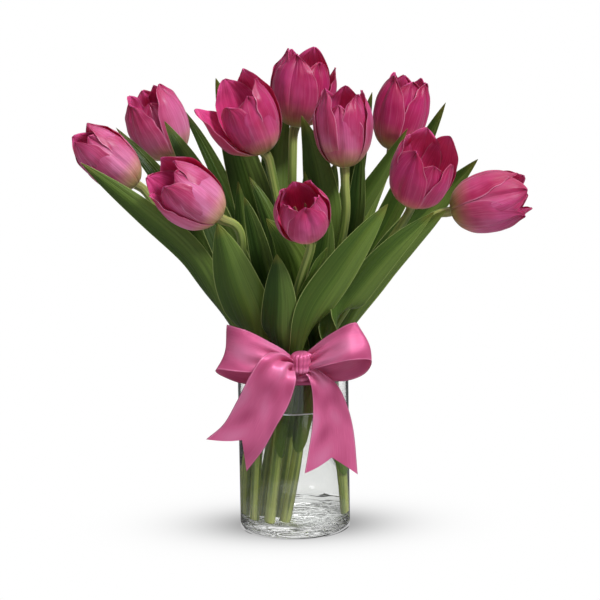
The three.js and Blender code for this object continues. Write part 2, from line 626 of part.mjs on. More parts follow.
add("vase", vaseGeometry(), glass);
add("water", waterGeometry(), still);
add("ribbon", ribbonGeometry(), satin);
TULIPS.forEach((tulip, index) => {
  add(`stem_${tulip.id}`, stemGeometry(tulip), stemGreen);
  add(`bloom_${tulip.id}`, bloomGeometry(tulip, index), petalPink).applyMatrix4(bloomFrame(tulip));
});
for (const leaf of LEAVES) add(`leaf_${leaf.id}`, leafGeometry(leaf), leafGreen);

export default bunch;
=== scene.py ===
# Ten pink tulips in a clear glass vase, tied at the mouth with a satin bow: the looks of the part.
# Shapes are worked out in millimetres by the same rules as the solids, on finer grids, and come
# out in metres. +Z is up, the front faces -Y, and the origin is under the middle of the vase.

import math
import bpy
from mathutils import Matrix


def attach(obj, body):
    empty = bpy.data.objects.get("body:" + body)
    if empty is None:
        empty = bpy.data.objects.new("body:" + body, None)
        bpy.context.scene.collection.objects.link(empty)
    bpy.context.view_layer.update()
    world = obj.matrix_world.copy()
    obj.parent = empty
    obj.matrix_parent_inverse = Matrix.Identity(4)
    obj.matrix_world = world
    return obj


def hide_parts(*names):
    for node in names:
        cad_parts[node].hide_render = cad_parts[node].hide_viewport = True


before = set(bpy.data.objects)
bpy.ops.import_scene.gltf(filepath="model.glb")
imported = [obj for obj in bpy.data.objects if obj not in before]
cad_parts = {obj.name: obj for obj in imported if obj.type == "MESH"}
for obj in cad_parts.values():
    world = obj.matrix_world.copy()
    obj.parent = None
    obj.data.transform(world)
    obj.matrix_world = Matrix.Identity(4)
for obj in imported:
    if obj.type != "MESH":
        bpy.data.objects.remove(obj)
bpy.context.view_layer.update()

from types import SimpleNamespace as Named

import bpy
import numpy as np
from mathutils import Matrix

MM = 0.001

# Driving dimensions, in millimetres and degrees. sides, rows and columns: how fine a mesh is.
# VASE: stand is how wide the ring is that it stands on, hollow how deep the hollow in that ring is, and
# rings how high the faint rings of its floor are. WATER: meniscus is how wide and high its edge climbs,
# and thread the radius of a painted bright line along it. FEET: where a foot stands, from its stem's place
# in
# the mouth. STEM: knots is how uneven it is along its length. LEAF: wraps are half the angle that it
# bends round its stem, and tongue is how far the sides of its root are cut back, as a share of it.

VASE = Named(radius=44.5, height=140, wall=3, floor=9, heel=4.5, lip=0.9, stand=1.5, hollow=1.6,
             rings=0.18, sides=160)
WATER = Named(top=101, overlap=0.12, meniscus=(4.5, 2.2), thread=0.3, thread_in=0.3, thread_up=0.9)
MOUTH_Z = 142
CLEARANCE = 0.35
FEET = Named(squeeze=(0.5, 0.85), shift=(-17, 0))
STEM = Named(foot=4.1, neck=3.5, bend=14, ribs=0.09, knots=0.07, swell=0.55, bevel=0.35, into_bloom=1.6,
             sides=24, rows=90)
LEAF = Named(thickness=0.8, root_room=1.15, root_wrap=95, mouth_wrap=58, widest=0.42, tongue=0.05,
             keel=0.45, waves=1.1, rows=84, columns=19)
RIBBON = Named(width=36.5, cut=660, thickness=0.45, band_low=126.5, band_high=138.8, band_room=0.4,
               band_folds=0.5, band_swell=0.55)

# Petals. Pairs hold a value for outer petals and one for inner ones.
# half and reach: the greatest half width, as a share of the length and as an angle. flare: how much
# flatter the cup is at its rim. taper and point: how the outline narrows to the tip.
# crease to nicks: how deep the relief of a petal is.

PETAL = Named(
    thickness=0.85, base_radius=4, base_up=1.2, inset=(0, 1.6), lift=(0, 1.3), half=(0.345, 0.31),
    reach=(64, 58), flare=(1.2, 1.08), taper=(1.9, 2.1), point=(0.8, 0.72), lap=0.55, sway=7,
    crease=0.9, wave=0.55, frill=0.8, bow=0.7, droop=1.1, nicks=0.7, rows=52, columns=31,
)

# The heart of a bloom. seat: how far the seat of the petals stands out past the neck. pistil: where
# it starts and how long it is. girth: its radius at shares of its length. stamen: distance from the
# axis and height of a filament's foot, its head and the anther's end. filament and anther: their
# radii at both ends.

HEART = Named(
    seat=1.4, pistil=(3.5, 20), girth=[(0, 2.6), (0.45, 3.3), (0.8, 2.5), (0.9, 3.6), (1, 2.2)],
    stamen=[(4.2, 3), (7.2, 17), (8.4, 28)], filament=(1.0, 0.7), anther=(1.5, 0.9),
)

# The soft shadow painted on the floor round the vase: how dark it is, how far it reaches to the sides,
# in metres, and how much less to the front and back

SHADE = Named(depth=0.875, reach=0.0716, narrow=1.62)

# The photograph's view: where the camera stands, in metres, and its yaw, pitch and roll

CAMERA = Named(place=(0, -2, 0.611), turn=(0.1875, -11.9925, -0.8796), lens=153.35, sensor=36)

# The ten tulips
# mouth: where the stem passes the vase's mouth, x and y. via: points the stem passes above it.
# neck: the top of the stem. tip: a point the bloom points at. bend: how far below the neck the
# stem turns to the bloom's axis. foot: x and y of a foot that is given. long: petal length.
# belly: how round the cup is. close: how far the petals turn in near the top, in degrees.
# spin: turns the bloom about its own axis. The petals follow from petal 0, at the front before the
# spin, every other one outer and inner. open: how far each leans out. rise: its share of the length.
# curl: how far its tip turns out. deep: 0 is a pale pink and 1 a deep crimson.

TULIPS = [
    Named(id="01", mouth=(-29.7, 4.2), via=[(-72, 8, 210)], neck=(-122, 8, 280), tip=(-164, 0, 321),
          long=69, belly=0.74, close=30, spin=28, deep=0.1,
          open=(0, 0, 2, 0, 1, 0), rise=(0.93, 1, 1, 1, 0.88, 0.98)),
    Named(id="02", mouth=(-19.3, 23), via=[(-52, 38, 208)], neck=(-95, 52, 294), tip=(-118, 48, 352),
          long=72, belly=0.92, close=30, spin=-50, deep=0.3,
          open=(4, 0, 1, 0, 1, 0), rise=(0.93, 0.8, 1, 0.95, 0.95, 0.95)),
    Named(id="03", mouth=(-24, -18), via=[(-38, -36, 200)], neck=(-55, -50, 263), tip=(-104, -70, 306),
          long=72, belly=0.86, close=32, spin=35, deep=0.15, bend=22,
          open=(0, 2, 4, 5, 6, 3), rise=(0.9, 0.94, 1.02, 1, 0.92, 0.9)),
    Named(id="04", mouth=(-7, 2), via=[(-3, -1, 215)], neck=(-20, -11, 307), tip=(-43, -20, 364),
          long=72, belly=0.9, close=26, spin=22, deep=0.65,
          open=(3, 4, 3, 5, 17, 8), rise=(0.84, 0.93, 1.06, 1, 0.95, 0.8), curl=(10, 0, 0, 0, 30, 10)),
    Named(id="05", mouth=(2.6, 29.9), via=[(1, 40, 225)], neck=(5, 52, 318), tip=(15, 54, 382),
          long=72, belly=0.92, close=30, spin=-20, deep=0.85,
          open=(1, 6, 13, 1, 1, 1), rise=(0.98, 0.9, 0.9, 1.04, 1, 1)),
    Named(id="06", mouth=(12, -5), via=[(32, -7, 205), (43, -13, 252)], neck=(43, -20, 296),
          tip=(42, -22, 358), long=70, belly=0.82, close=28, spin=-8, deep=0.5,
          open=(1, 1, 2, 1, 2, 1), rise=(0.84, 0.93, 0.98, 1, 1, 1.02)),
    Named(id="07", mouth=(23, 19.3), via=[(52, 30, 218)], neck=(82, 38, 300), tip=(97, 40, 359),
          long=68, belly=0.8, close=26, spin=-52, deep=0.9,
          open=(1, 1, 1, 1, 1, 1), rise=(1, 0.96, 1, 1, 1, 1)),
    Named(id="08", mouth=(19.3, -23), via=[(55, -32, 205)], neck=(94, -39, 270), tip=(112, -62, 326),
          long=67, belly=1.06, close=24, spin=-42, deep=0.8,
          open=(2, 4, 5, 8, 6, 4), rise=(0.97, 0.8, 0.84, 1, 1.02, 0.98)),
    Named(id="09", mouth=(29.9, -2.6), foot=(32.5, 1), via=[(62, -2, 189), (97, 0, 237)],
          neck=(127, 0, 256), tip=(186, -8, 272), long=72, belly=0.88, close=30, spin=40, deep=0.65,
          open=(4, 1, 1, 1, 2, 1), rise=(0.93, 1, 1, 1, 0.97, 1.02), curl=(20, 0, 0, 0, 0, 10)),
    Named(id="10", mouth=(-3.7, -29.8), via=[(4, -44, 200)], neck=(13, -66, 250), tip=(6, -94, 292),
          long=57, belly=1.0, close=42, spin=10, deep=0.6,
          open=(2, 2, 3, 2, 3, 2), rise=(0.9, 0.9, 1, 0.95, 1, 0.9), curl=(25, 30, 10, 20, 10, 30)),
]

# The leaves
# id: its tulip's id and a letter. root: the height it grows from its stem. side: the side of the
# stem, as a heading in degrees seen from above. rim: how far from the stem's axis it lies at the top
# of its rolled stretch. face: headings that its back turns to half way up and at the tip.
# wide: its greatest width. fold: how far its halves stand up there. tone: 0 is dark green and
# 1 is light olive. path: points of its midrib from the rolled stretch to the tip.

LEAF_COLUMNS = ("id", "root", "side", "rim", "face", "wide", "fold", "tone", "path")
LEAVES = [Named(**dict(zip(LEAF_COLUMNS, row))) for row in (
    ("01a", 64, 215, 8.8, (240, 250), 27, 36, 0.5,
     [(-58, -24, 190), (-79, -30, 229), (-114, -29, 263), (-163, -26, 304)]),
    ("01b", 98, 80, 6.6, (105, 100), 20, 40, 0.3,
     [(-52, 17, 192), (-78, 22, 240), (-106, 29, 284), (-139, 38, 322)]),
    ("02a", 96, 235, 6.6, (262, 262), 20, 36, 0.2,
     [(-31, 2, 190), (-36, -1, 230), (-39, -4, 262), (-41, -5, 284)]),
    ("02b", 62, 40, 8.8, (70, 80), 18, 40, 0.4,
     [(-26, 44, 200), (-50, 60, 262), (-71, 70, 305), (-88, 72, 334)]),
    ("02c", 162, 110, 6.4, (110, 115), 28, 34, 0.3,
     [(-50, 62, 205), (-62, 90, 248), (-66, 112, 280)]),
    ("03a", 60, 240, 8.8, (258, 258), 41, 38, 0.5,
     [(-33, -43, 176), (-43, -57, 210), (-50, -63, 238), (-56, -65, 261)]),
    ("03b", 150, 10, 6.2, (70, 80), 20, 38, 0.2,
     [(-17, -20, 196), (-23, -25, 228), (-29, -26, 252), (-36, -25, 275)]),
    ("03c", 96, 95, 6.6, (90, 90), 28, 38, 0.3,
     [(-38, -6, 200), (-54, -3, 240), (-76, 8, 290), (-99, 16, 330)]),
    ("04a", 66, 85, 8.2, (80, 88), 36, 30, 0.25,
     [(-14, 28, 200), (-27, 32, 255), (-37, 34, 290), (-58, 36, 361)]),
    ("04b", 98, 250, 6.6, (262, 265), 22, 36, 0.35,
     [(-11, -9, 195), (-13, -13, 240), (-21, -13, 266), (-32, -9, 288)]),
    ("04c", 176, -30, 6.2, (-80, -85), 16, 36, 0.5,
     [(8, -8, 232), (13, -8, 262), (12, -5, 291)]),
    ("05a", 64, -60, 8.8, (264, 264), 35, 34, 0.3,
     [(12, 12, 186), (22, 6, 225), (25, 2, 262), (19, 3, 303), (10, 5, 334)]),
    ("05b", 98, 140, 6.6, (110, 95), 28, 34, 0.35,
     [(-15, 52, 200), (-14, 68, 262), (-9, 86, 318), (4, 96, 372)]),
    ("05c", 170, 45, 6.2, (60, 70), 28, 34, 0.3,
     [(17, 56, 212), (29, 76, 250), (38, 94, 282)]),
    ("06a", 62, 240, 8.8, (266, 268), 31, 30, 0.75,
     [(8, -23, 182), (5, -32, 215), (-5, -41, 242), (-19, -45, 261)]),
    ("06b", 98, 50, 6.6, (78, 80), 19, 36, 0.1,
     [(39, 7, 200), (51, 7, 250), (55, 8, 284), (58, 9, 314)]),
    ("07a", 62, 20, 8.8, (45, 60), 25, 36, 0.4,
     [(53, 32, 195), (84, 46, 250), (108, 54, 298), (127, 54, 336)]),
    ("07b", 98, 240, 6.6, (275, 280), 21, 36, 0.5,
     [(28, 17, 190), (44, 18, 238), (74, 17, 286), (94, 14, 321)]),
    ("07c", 164, 120, 6.4, (110, 100), 20, 36, 0.3,
     [(42, 46, 235), (54, 60, 290), (68, 66, 344)]),
    ("08a", 62, 262, 8.8, (-80, -75), 26, 34, 0.6,
     [(30, -43, 172), (51, -52, 203), (80, -58, 238), (111, -57, 266)]),
    ("08b", 98, 110, 6.6, (95, 95), 22, 34, 0.2,
     [(18, -26, 190), (24, -32, 222), (28, -33, 246), (29, -31, 266)]),
    ("09a", 40, -60, 8.8, (-65, -75), 26, 34, 0.7,
     [(48, -17, 178), (69, -20, 208), (95, -24, 238), (122, -25, 262)]),
    ("09b", 98, 90, 6.6, (90, 80), 28, 34, 0.4,
     [(53, 13, 182), (84, 22, 225), (119, 28, 261), (151, 25, 294)]),
    ("10a", 62, -40, 8.8, (-75, -72), 31, 33, 0.7,
     [(15, -58, 185), (36, -68, 220), (56, -73, 250), (75, -69, 275)]),
    ("10b", 96, 235, 6.6, (264, 264), 30, 36, 0.15,
     [(-11, -52, 172), (-10, -61, 198), (-10, -66, 220), (-11, -68, 237)]),
    ("10c", 186, -25, 6.2, (-40, -50), 13, 50, 1.0,
     [(20, -58, 222), (28, -65, 241)]),
)]

# The bow: a knot, two loops and two tails, each a strip between an upper and a lower edge
# folds: pleats across a strip, or round a knot. ends: where the strip is gathered, each a share of
# its length and how far the gathering runs. depth and waves: how deep its pleats and soft waves are.
# notch: how deep the cut in its end is, as a share of its length.

BOW = dict(
    knot=Named(centre=(6, -56.5, 148.2), half=(8.4, 8.5, 8.9), folds=14, lean=1.2),
    under_knot=Named(centre=(5, -50, 137), half=(7.2, 4.6, 6), folds=7, lean=0.6),
    left_loop=Named(
        folds=2.6, ends=[(0, 0.42), (1, 0.3)], depth=2.4, waves=2.4, notch=0,
        upper=[(3, -53, 150), (-8, -58, 160), (-24, -66, 171), (-38, -71, 179), (-48, -66, 181),
               (-46, -56, 176), (-30, -51, 164), (-8, -50, 150), (3, -50, 146)],
        lower=[(3, -54, 139), (-8, -60, 139), (-24, -70, 143), (-44, -75, 146), (-59, -67, 146),
               (-55, -57, 138), (-37, -52, 130), (-10, -50, 132), (3, -50, 138)],
    ),
    right_loop=Named(
        folds=2.6, ends=[(0, 0.42), (1, 0.3)], depth=2.4, waves=2.2, notch=0,
        upper=[(6, -53, 150), (15, -58, 159), (27, -66, 171), (40, -71, 180), (51, -66, 182),
               (50, -56, 176), (36, -51, 164), (15, -50, 150), (6, -50, 146)],
        lower=[(6, -54, 139), (14, -60, 143), (29, -69, 149), (46, -75, 154), (61, -67, 151),
               (57, -57, 139), (40, -52, 132), (16, -50, 133), (6, -50, 138)],
    ),
    left_tail=Named(
        folds=2.2, ends=[(0, 0.8)], depth=3.4, waves=1.8, notch=0.15,
        upper=[(2, -57, 149), (-12, -66, 159), (-24, -79, 158), (-34, -80, 144), (-44, -73, 122),
               (-55, -66, 101), (-69, -60, 88)],
        lower=[(3, -57, 139), (0, -64, 142), (1, -70, 134), (-4, -70, 118), (-14, -66, 100),
               (-24, -60, 80), (-38, -53, 59)],
    ),
    right_tail=Named(
        folds=1.6, ends=[(0, 0.55)], depth=2.4, waves=1.6, notch=0.1,
        upper=[(4, -56, 137), (11, -56, 138), (15, -59, 126), (15, -59, 103), (12, -58, 80), (8, -56, 58)],
        lower=[(8, -57, 146), (20, -57, 142), (34, -62, 131), (42, -59, 114), (47, -56, 91), (50, -52, 55)],
    ),
)


# Small helpers

def unit(v):
    return v / np.maximum(np.linalg.norm(v, axis=-1, keepdims=True), 1e-12)


def smooth(x):
    x = np.clip(x, 0, 1)
    return x * x * (3 - 2 * x)


def lerp(a, b, x):
    return a + (b - a) * x


def through(keys, t):
    """The value at t of a line that runs smoothly through the keys, each (t, value)."""
    spots, values = np.array(keys, float).T
    right = np.clip(np.searchsorted(spots, t), 1, len(spots) - 1)
    x = (t - spots[right - 1]) / (spots[right] - spots[right - 1])
    return lerp(values[right - 1], values[right], smooth(x))


def between(where, spots, points):
    """Points read at where, on the straight lines between those given at the spots."""
    return np.stack([np.interp(where, spots, points[:, k]) for k in range(3)], -1)


def turns(sides):
    return np.arange(sides) * 2 * np.pi / sides


def crowded(count):
    """Numbers from -1 to 1 that crowd together at both ends."""
    return np.sin(np.linspace(-1, 1, count) * np.pi / 2)


def polar(radius, turn, z):
    return np.stack(np.broadcast_arrays(radius * np.cos(turn), radius * np.sin(turn), z), -1)


def heading(degrees):
    return polar(1, np.radians(degrees), 0)


def square_to(v, n):
    """The part of v that is square to the unit vector n, as a unit vector."""
    return unit(v - n * (v * n).sum(-1, keepdims=True))


def shares(rows, columns):
    """u from 0 to 1 along a strip and v from -1 to 1 across it, for each point of its grid."""
    return np.meshgrid(np.linspace(0, 1, rows), np.linspace(-1, 1, columns), indexing="ij")


def normals(grid):
    return unit(np.cross(np.gradient(grid, axis=0), np.gradient(grid, axis=1)))


class Spline:
    """A smooth line through points."""

    PER_SPAN = 60
    STEP = 0.004

    def __init__(self, points):
        p = np.array(points, float)
        ends = np.vstack([2 * p[0] - p[1], p, 2 * p[-1] - p[-2]])
        t = np.linspace(0, 1, self.PER_SPAN, endpoint=False)[:, None]
        rows = [
            (2 * t**3 - 3 * t**2 + 1) * b + (t**3 - 2 * t**2 + t) * (c - a) / 2
            + (3 * t**2 - 2 * t**3) * c + (t**3 - t**2) * (d - b) / 2
            for a, b, c, d in zip(ends, ends[1:], ends[2:], ends[3:])
        ]
        self.points = np.vstack(rows + [p[-1:]])
        steps = np.linalg.norm(np.diff(self.points, axis=0), axis=1)
        self.reach = np.concatenate([[0], np.cumsum(steps)])
        self.length = self.reach[-1]

    def at(self, share):
        """The points at shares of the length."""
        return between(share * self.length, self.reach, self.points)

    def knots(self, share):
        """The points at shares of the way from knot to knot, whatever their distance."""
        spots = np.arange(len(self.points))
        return between(share * spots[-1], spots, self.points)

    def along(self, share):
        """The line's direction at shares of the length."""
        before, after = np.clip(share - self.STEP, 0, 1), np.clip(share + self.STEP, 0, 1)
        return unit(self.at(after) - self.at(before))

    def share_at_height(self, z):
        """The share at which a rising line passes a height."""
        return np.interp(z, self.points[:, 2], self.reach) / self.length


class Body:
    """Gathers closed pieces of mesh, with where each point lies on its petal, leaf, stem or strip."""

    def __init__(self):
        self.points, self.places, self.tones, self.faces, self.slots, self.sharp = [], [], [], [], [], []
        self.count = 0

    def add_points(self, points, places, tone):
        points = points.reshape(-1, 3)
        self.points.append(points)
        self.places.append(places.reshape(-1, 3))
        self.tones.append(np.full(len(points), float(tone)))
        start = self.count
        self.count += len(points)
        return start

    def add_faces(self, faces, slot=0):
        """Adds faces from an array whose last axis lists the points of each."""
        faces = np.asarray(faces)
        faces = faces.reshape(-1, faces.shape[-1]).tolist()
        self.faces.extend(faces)
        self.slots.extend([slot] * len(faces))

    def keep_sharp(self, line):
        self.sharp.extend(zip(line[:-1].tolist(), line[1:].tolist()))

    def sheet(self, grid, thick, u, v, tone=0.5, pointed=False):
        """A thin closed sheet round a grid of middle points, rows from root to tip."""
        rows, columns = grid.shape[:2]
        normal = normals(grid)
        if pointed:
            grid = np.concatenate([grid[:-1], np.broadcast_to(grid[-1].mean(0), (1, columns, 3))])
            normal[-1] = unit(normal[-2].mean(0))
        offset = normal * (np.broadcast_to(thick, grid.shape[:2])[..., None] / 2)
        count = (rows - 1) * columns + 1 if pointed else rows * columns
        sides = []
        for side, sign in ((0, 1), (1, -1)):
            places = np.stack([u, v, np.full_like(u, side)], -1)
            points = grid + sign * offset
            start = self.add_points(points.reshape(-1, 3)[:count], places.reshape(-1, 3)[:count], tone)
            ids = np.minimum(np.arange(rows * columns), count - 1).reshape(rows, columns) + start
            sides.append(ids)
            corners = [ids[:-1, :-1], ids[1:, :-1], ids[1:, 1:], ids[:-1, 1:]]
            quads = np.stack([corners[k] for k in ((0, 3, 2, 1) if side else (0, 1, 2, 3))], -1)
            if pointed:
                self.add_faces(quads[-1][:, [0, 1, 3]])
                quads = quads[:-1]
            self.add_faces(quads)
        edges = [np.s_[::-1, 0], np.s_[:, -1], np.s_[0]]
        if not pointed:
            edges.append(np.s_[-1, ::-1])
        for edge in edges:
            front, behind = (ids[edge] for ids in sides)
            self.add_faces(np.stack([front[:-1], front[1:], behind[1:], behind[:-1]], -1))
            self.keep_sharp(front)
            self.keep_sharp(behind)

    def walls(self, start, rows, sides, slot=0):
        """Faces from ring to ring. Gives each ring's points, and the point after each."""
        ids = np.arange(rows * sides).reshape(rows, sides) + start
        after = np.roll(ids, -1, axis=1)
        self.add_faces(np.stack([ids[:-1], after[:-1], after[1:], ids[1:]], -1), slot)
        return ids, after

    def tube(self, rings, tone=0.5, slot=0):
        """A closed bar from rings of points, each ring turning about the way to the next."""
        rows, sides = rings.shape[:2]
        u, v = np.meshgrid(np.linspace(0, 1, rows), np.arange(sides) / sides, indexing="ij")
        start = self.add_points(rings, np.stack([u, v, np.zeros_like(u)], -1), tone)
        ids, after = self.walls(start, rows, sides, slot)
        self.add_faces([ids[0][::-1], ids[-1]], slot)
        for end in (0, -1):
            self.keep_sharp(np.append(ids[end], after[end, -1]))

    def lathe(self, profile, sides):
        """A solid of revolution about Z from (radius, height) points that start and end on the axis."""
        profile = np.array(profile, float)
        inner = profile[1:-1]
        rings = polar(inner[:, :1], turns(sides), inner[:, 1:])
        poles = [[0, 0, profile[0, 1]], [0, 0, profile[-1, 1]]]
        points = np.vstack([rings.reshape(-1, 3), poles])
        start = self.add_points(points, np.zeros_like(points), 0.5)
        ids, after = self.walls(start, len(inner), sides)
        low = np.full(sides, self.count - 2)
        high = low + 1
        self.add_faces(np.stack([low, after[0], ids[0]], -1))
        self.add_faces(np.stack([high, ids[-1], after[-1]], -1))

    def mesh(self, name):
        mesh = bpy.data.meshes.new(name)
        mesh.from_pydata(np.vstack(self.points) * MM, [], self.faces)
        mesh.polygons.foreach_set("material_index", self.slots)
        mesh.polygons.foreach_set("use_smooth", [True] * len(self.faces))
        place = mesh.attributes.new("place", "FLOAT_VECTOR", "POINT")
        place.data.foreach_set("vector", np.vstack(self.places).astype(np.float32).ravel())
        tone = mesh.attributes.new("tone", "FLOAT", "POINT")
        tone.data.foreach_set("value", np.concatenate(self.tones).astype(np.float32))
        if self.sharp:
            wanted = {(min(a, b), max(a, b)) for a, b in self.sharp}
            pairs = np.empty(len(mesh.edges) * 2, np.int32)
            mesh.edges.foreach_get("vertices", pairs)
            pairs = np.sort(pairs.reshape(-1, 2), axis=1)
            mesh.edges.foreach_set("use_edge_sharp", [(a, b) in wanted for a, b in pairs.tolist()])
        mesh.update()
        return mesh

    def piece(self, name, materials, slot, *nodes):
        """The finished piece: it moves with the vase and stands for its CAD nodes. slot: not used."""
        piece = add_object(name, self.mesh(name))
        for material in materials:
            piece.data.materials.append(material)
        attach(piece, "root")
        if nodes:
            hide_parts(*nodes)
        return piece


def add_object(name, data):
    made = bpy.data.objects.new(name, data)
    bpy.context.scene.collection.objects.link(made)
    return made


# Shader helpers

def srgb(red, green, blue):
    """A colour as it shows on a screen, 0 to 255, as linear light."""
    parts = [c / 255 for c in (red, green, blue)]
    return (*[c / 12.92 if c <= 0.04045 else ((c + 0.055) / 1.055) ** 2.4 for c in parts], 1)


class Shader:
    """The nodes of a material or a world. A colour is a socket, or three numbers as srgb takes."""

    def __init__(self, name, kept_in=bpy.data.materials):
        self.owner = kept_in.new(name)
        self.owner.use_nodes = True
        self.tree = self.owner.node_tree
        self.tree.nodes.clear()
        self.colour = None

    def node(self, kind, inputs=(), **settings):
        made = self.tree.nodes.new("ShaderNode" + kind)
        for key, value in settings.items():
            setattr(made, key, value)
        for socket, value in dict(inputs).items():
            if isinstance(value, bpy.types.NodeSocket):
                self.tree.links.new(value, made.inputs[socket])
            else:
                made.inputs[socket].default_value = value
        return made

    def math(self, operation, a, b=0.0, clamp=False):
        return self.node("Math", {0: a, 1: b}, operation=operation, use_clamp=clamp).outputs[0]

    def plus(self, a, b, clamp=False):
        return self.math("ADD", a, b, clamp)

    def minus(self, a, b):
        return self.math("SUBTRACT", a, b)

    def times(self, first, *others):
        for other in others:
            first = self.math("MULTIPLY", first, other)
        return first

    def choose(self, share, a, b):
        """A number: a where the share is 0, and b where it is 1."""
        return self.node("Mix", {0: share, 2: a, 3: b}).outputs[0]

    def mix(self, share, a, b):
        """A colour, in the same way."""
        a, b = (srgb(*c) if isinstance(c, tuple) else c for c in (a, b))
        return self.node("Mix", {0: share, 6: a, 7: b}, data_type="RGBA").outputs[2]

    def ramp(self, value, *stops):
        """Runs through the stops, each (value, colour) or (value, share)."""
        made = self.node("ValToRGB", {0: value})
        points = made.color_ramp.elements
        while len(points) < len(stops):
            points.new(0.5)
        for point, (place, stop) in zip(points, stops):
            point.position = place
            point.color = srgb(*stop) if isinstance(stop, tuple) else (stop, stop, stop, 1)
        return made.outputs[0]

    def lay(self, colour, share):
        """Lays a share of a colour over the colour so far."""
        self.colour = self.mix(share, self.colour, colour)

    def lay_by(self, colour, value, start, end, *shares):
        """The same, where the share follows a ramp over a value, times any other shares."""
        self.lay(colour, self.times(self.ramp(value, start, end), *shares))

    def split(self, vector):
        return self.node("SeparateXYZ", {0: vector}).outputs

    def where(self, kind):
        return self.node("TexCoord").outputs[kind]

    def place(self):
        """Where a point lies: along, across, and which side it is on."""
        return self.split(self.node("Attribute", attribute_name="place").outputs["Vector"])

    def tone(self):
        return self.node("Attribute", attribute_name="tone").outputs["Fac"]

    def noise(self, *axes, detail=3.0, rough=0.5):
        """Noise over three axes, each a value or (value, scale)."""
        ends = [self.times(*axis) if isinstance(axis, tuple) else axis for axis in axes]
        where = self.node("CombineXYZ", dict(enumerate(ends))).outputs[0]
        inputs = {"Vector": where, "Scale": 1.0, "Detail": detail, "Roughness": rough}
        return self.node("TexNoise", inputs).outputs["Fac"]

    def bump(self, height, distance, strength=1.0, under=None):
        inputs = {"Height": height, "Distance": distance, "Strength": strength}
        if under is not None:
            inputs["Normal"] = under
        return self.node("Bump", inputs).outputs[0]

    def principled(self, **inputs):
        named = {key.replace("_", " "): value for key, value in inputs.items()}
        return self.node("BsdfPrincipled", {"Base Color": self.colour, **named})

    def glow(self, share, colour):
        """Light that comes through a thin piece: its colour so far, with a share of another."""
        return self.node("BsdfTranslucent", {"Color": self.mix(share, self.colour, colour)})

    def output(self, surface, share=0.0, other=None):
        """The finished material: a surface, with a share of another one."""
        if other:
            inputs = {0: share, 1: surface.outputs[0], 2: other.outputs[0]}
            surface = self.node("MixShader", inputs)
        self.node("OutputMaterial", {0: surface.outputs[0]})
        return self.owner


# Materials

def petal_material():
    s = Shader("petal")
    along, across, side = s.place()
    tone, away = s.tone(), s.math("ABSOLUTE", across)
    veins = s.noise((across, 22), (along, 1.6), (tone, 40), rough=0.55)
    clouds = s.noise((across, 1.3), (along, 2.4), (tone, 70), detail=2)
    pale = s.ramp(along, (0, (132, 138, 54)), (0.14, (184, 168, 98)), (0.28, (214, 164, 146)),
                  (0.42, (216, 136, 172)), (0.72, (206, 106, 154)), (1, (172, 50, 104)))
    deep = s.ramp(along, (0, (136, 136, 52)), (0.14, (180, 158, 88)), (0.27, (196, 104, 100)),
                  (0.44, (186, 34, 98)), (0.7, (176, 20, 98)), (1, (146, 12, 66)))
    inside = s.ramp(along, (0, (236, 204, 98)), (0.12, (232, 134, 92)), (0.3, (234, 56, 112)),
                    (0.6, (236, 70, 140)), (1, (236, 92, 158)))
    s.colour = s.mix(tone, pale, deep)
    # A dull olive flame runs up the middle of some outer petals.
    low = s.ramp(along, (0, 1), (0.75, 0))
    blotch = s.ramp(clouds, (0.4, 0), (0.6, 0.5))
    s.lay_by((166, 122, 96), away, (0, 1), (0.3, 0), low, blotch)
    # Deeper clouds and margins, but not at the base.
    upper = s.ramp(along, (0.15, 0.1), (0.42, 1))
    s.lay_by((160, 24, 70), clouds, (0.42, 0), (0.64, 0.6), upper)
    s.lay_by((166, 26, 76), away, (0.4, 0), (0.9, 0.45), upper)
    s.colour = s.mix(side, inside, s.colour)
    # Dark and pale veins, and a thin pale rim that comes and goes.
    s.lay_by((140, 10, 62), veins, (0.38, 0.22), (0.56, 0))
    s.lay_by((238, 176, 208), veins, (0.54, 0), (0.8, 0.2))
    broken = s.ramp(clouds, (0.38, 0.35), (0.6, 1))
    s.lay_by((236, 160, 192), away, (0.95, 0), (1, 0.7), broken)
    # Shallow dents, and a groove up the middle of the outer side.
    dents = s.noise((across, 2.6), (along, 2.8), (tone, 30), detail=1)
    groove = s.times(s.ramp(away, (0, 0), (0.14, 0.3)), side)
    relief = s.bump(s.plus(dents, groove), 0.0022, 0.9)
    skin = s.principled(
        Roughness=s.ramp(clouds, (0.3, 0.46), (0.7, 0.36)), Specular_IOR_Level=0.34,
        Sheen_Weight=0.12, Sheen_Roughness=0.45, Sheen_Tint=srgb(255, 214, 240),
        Subsurface_Weight=0.15, Subsurface_Scale=0.0012, Subsurface_Radius=(1, 0.35, 0.55),
        Normal=s.bump(veins, 0.00022, 0.7, under=relief),
    )
    thin = s.minus(0.42, s.times(side, 0.18))
    return s.output(skin, thin, s.glow(0.5, (232, 38, 102)))


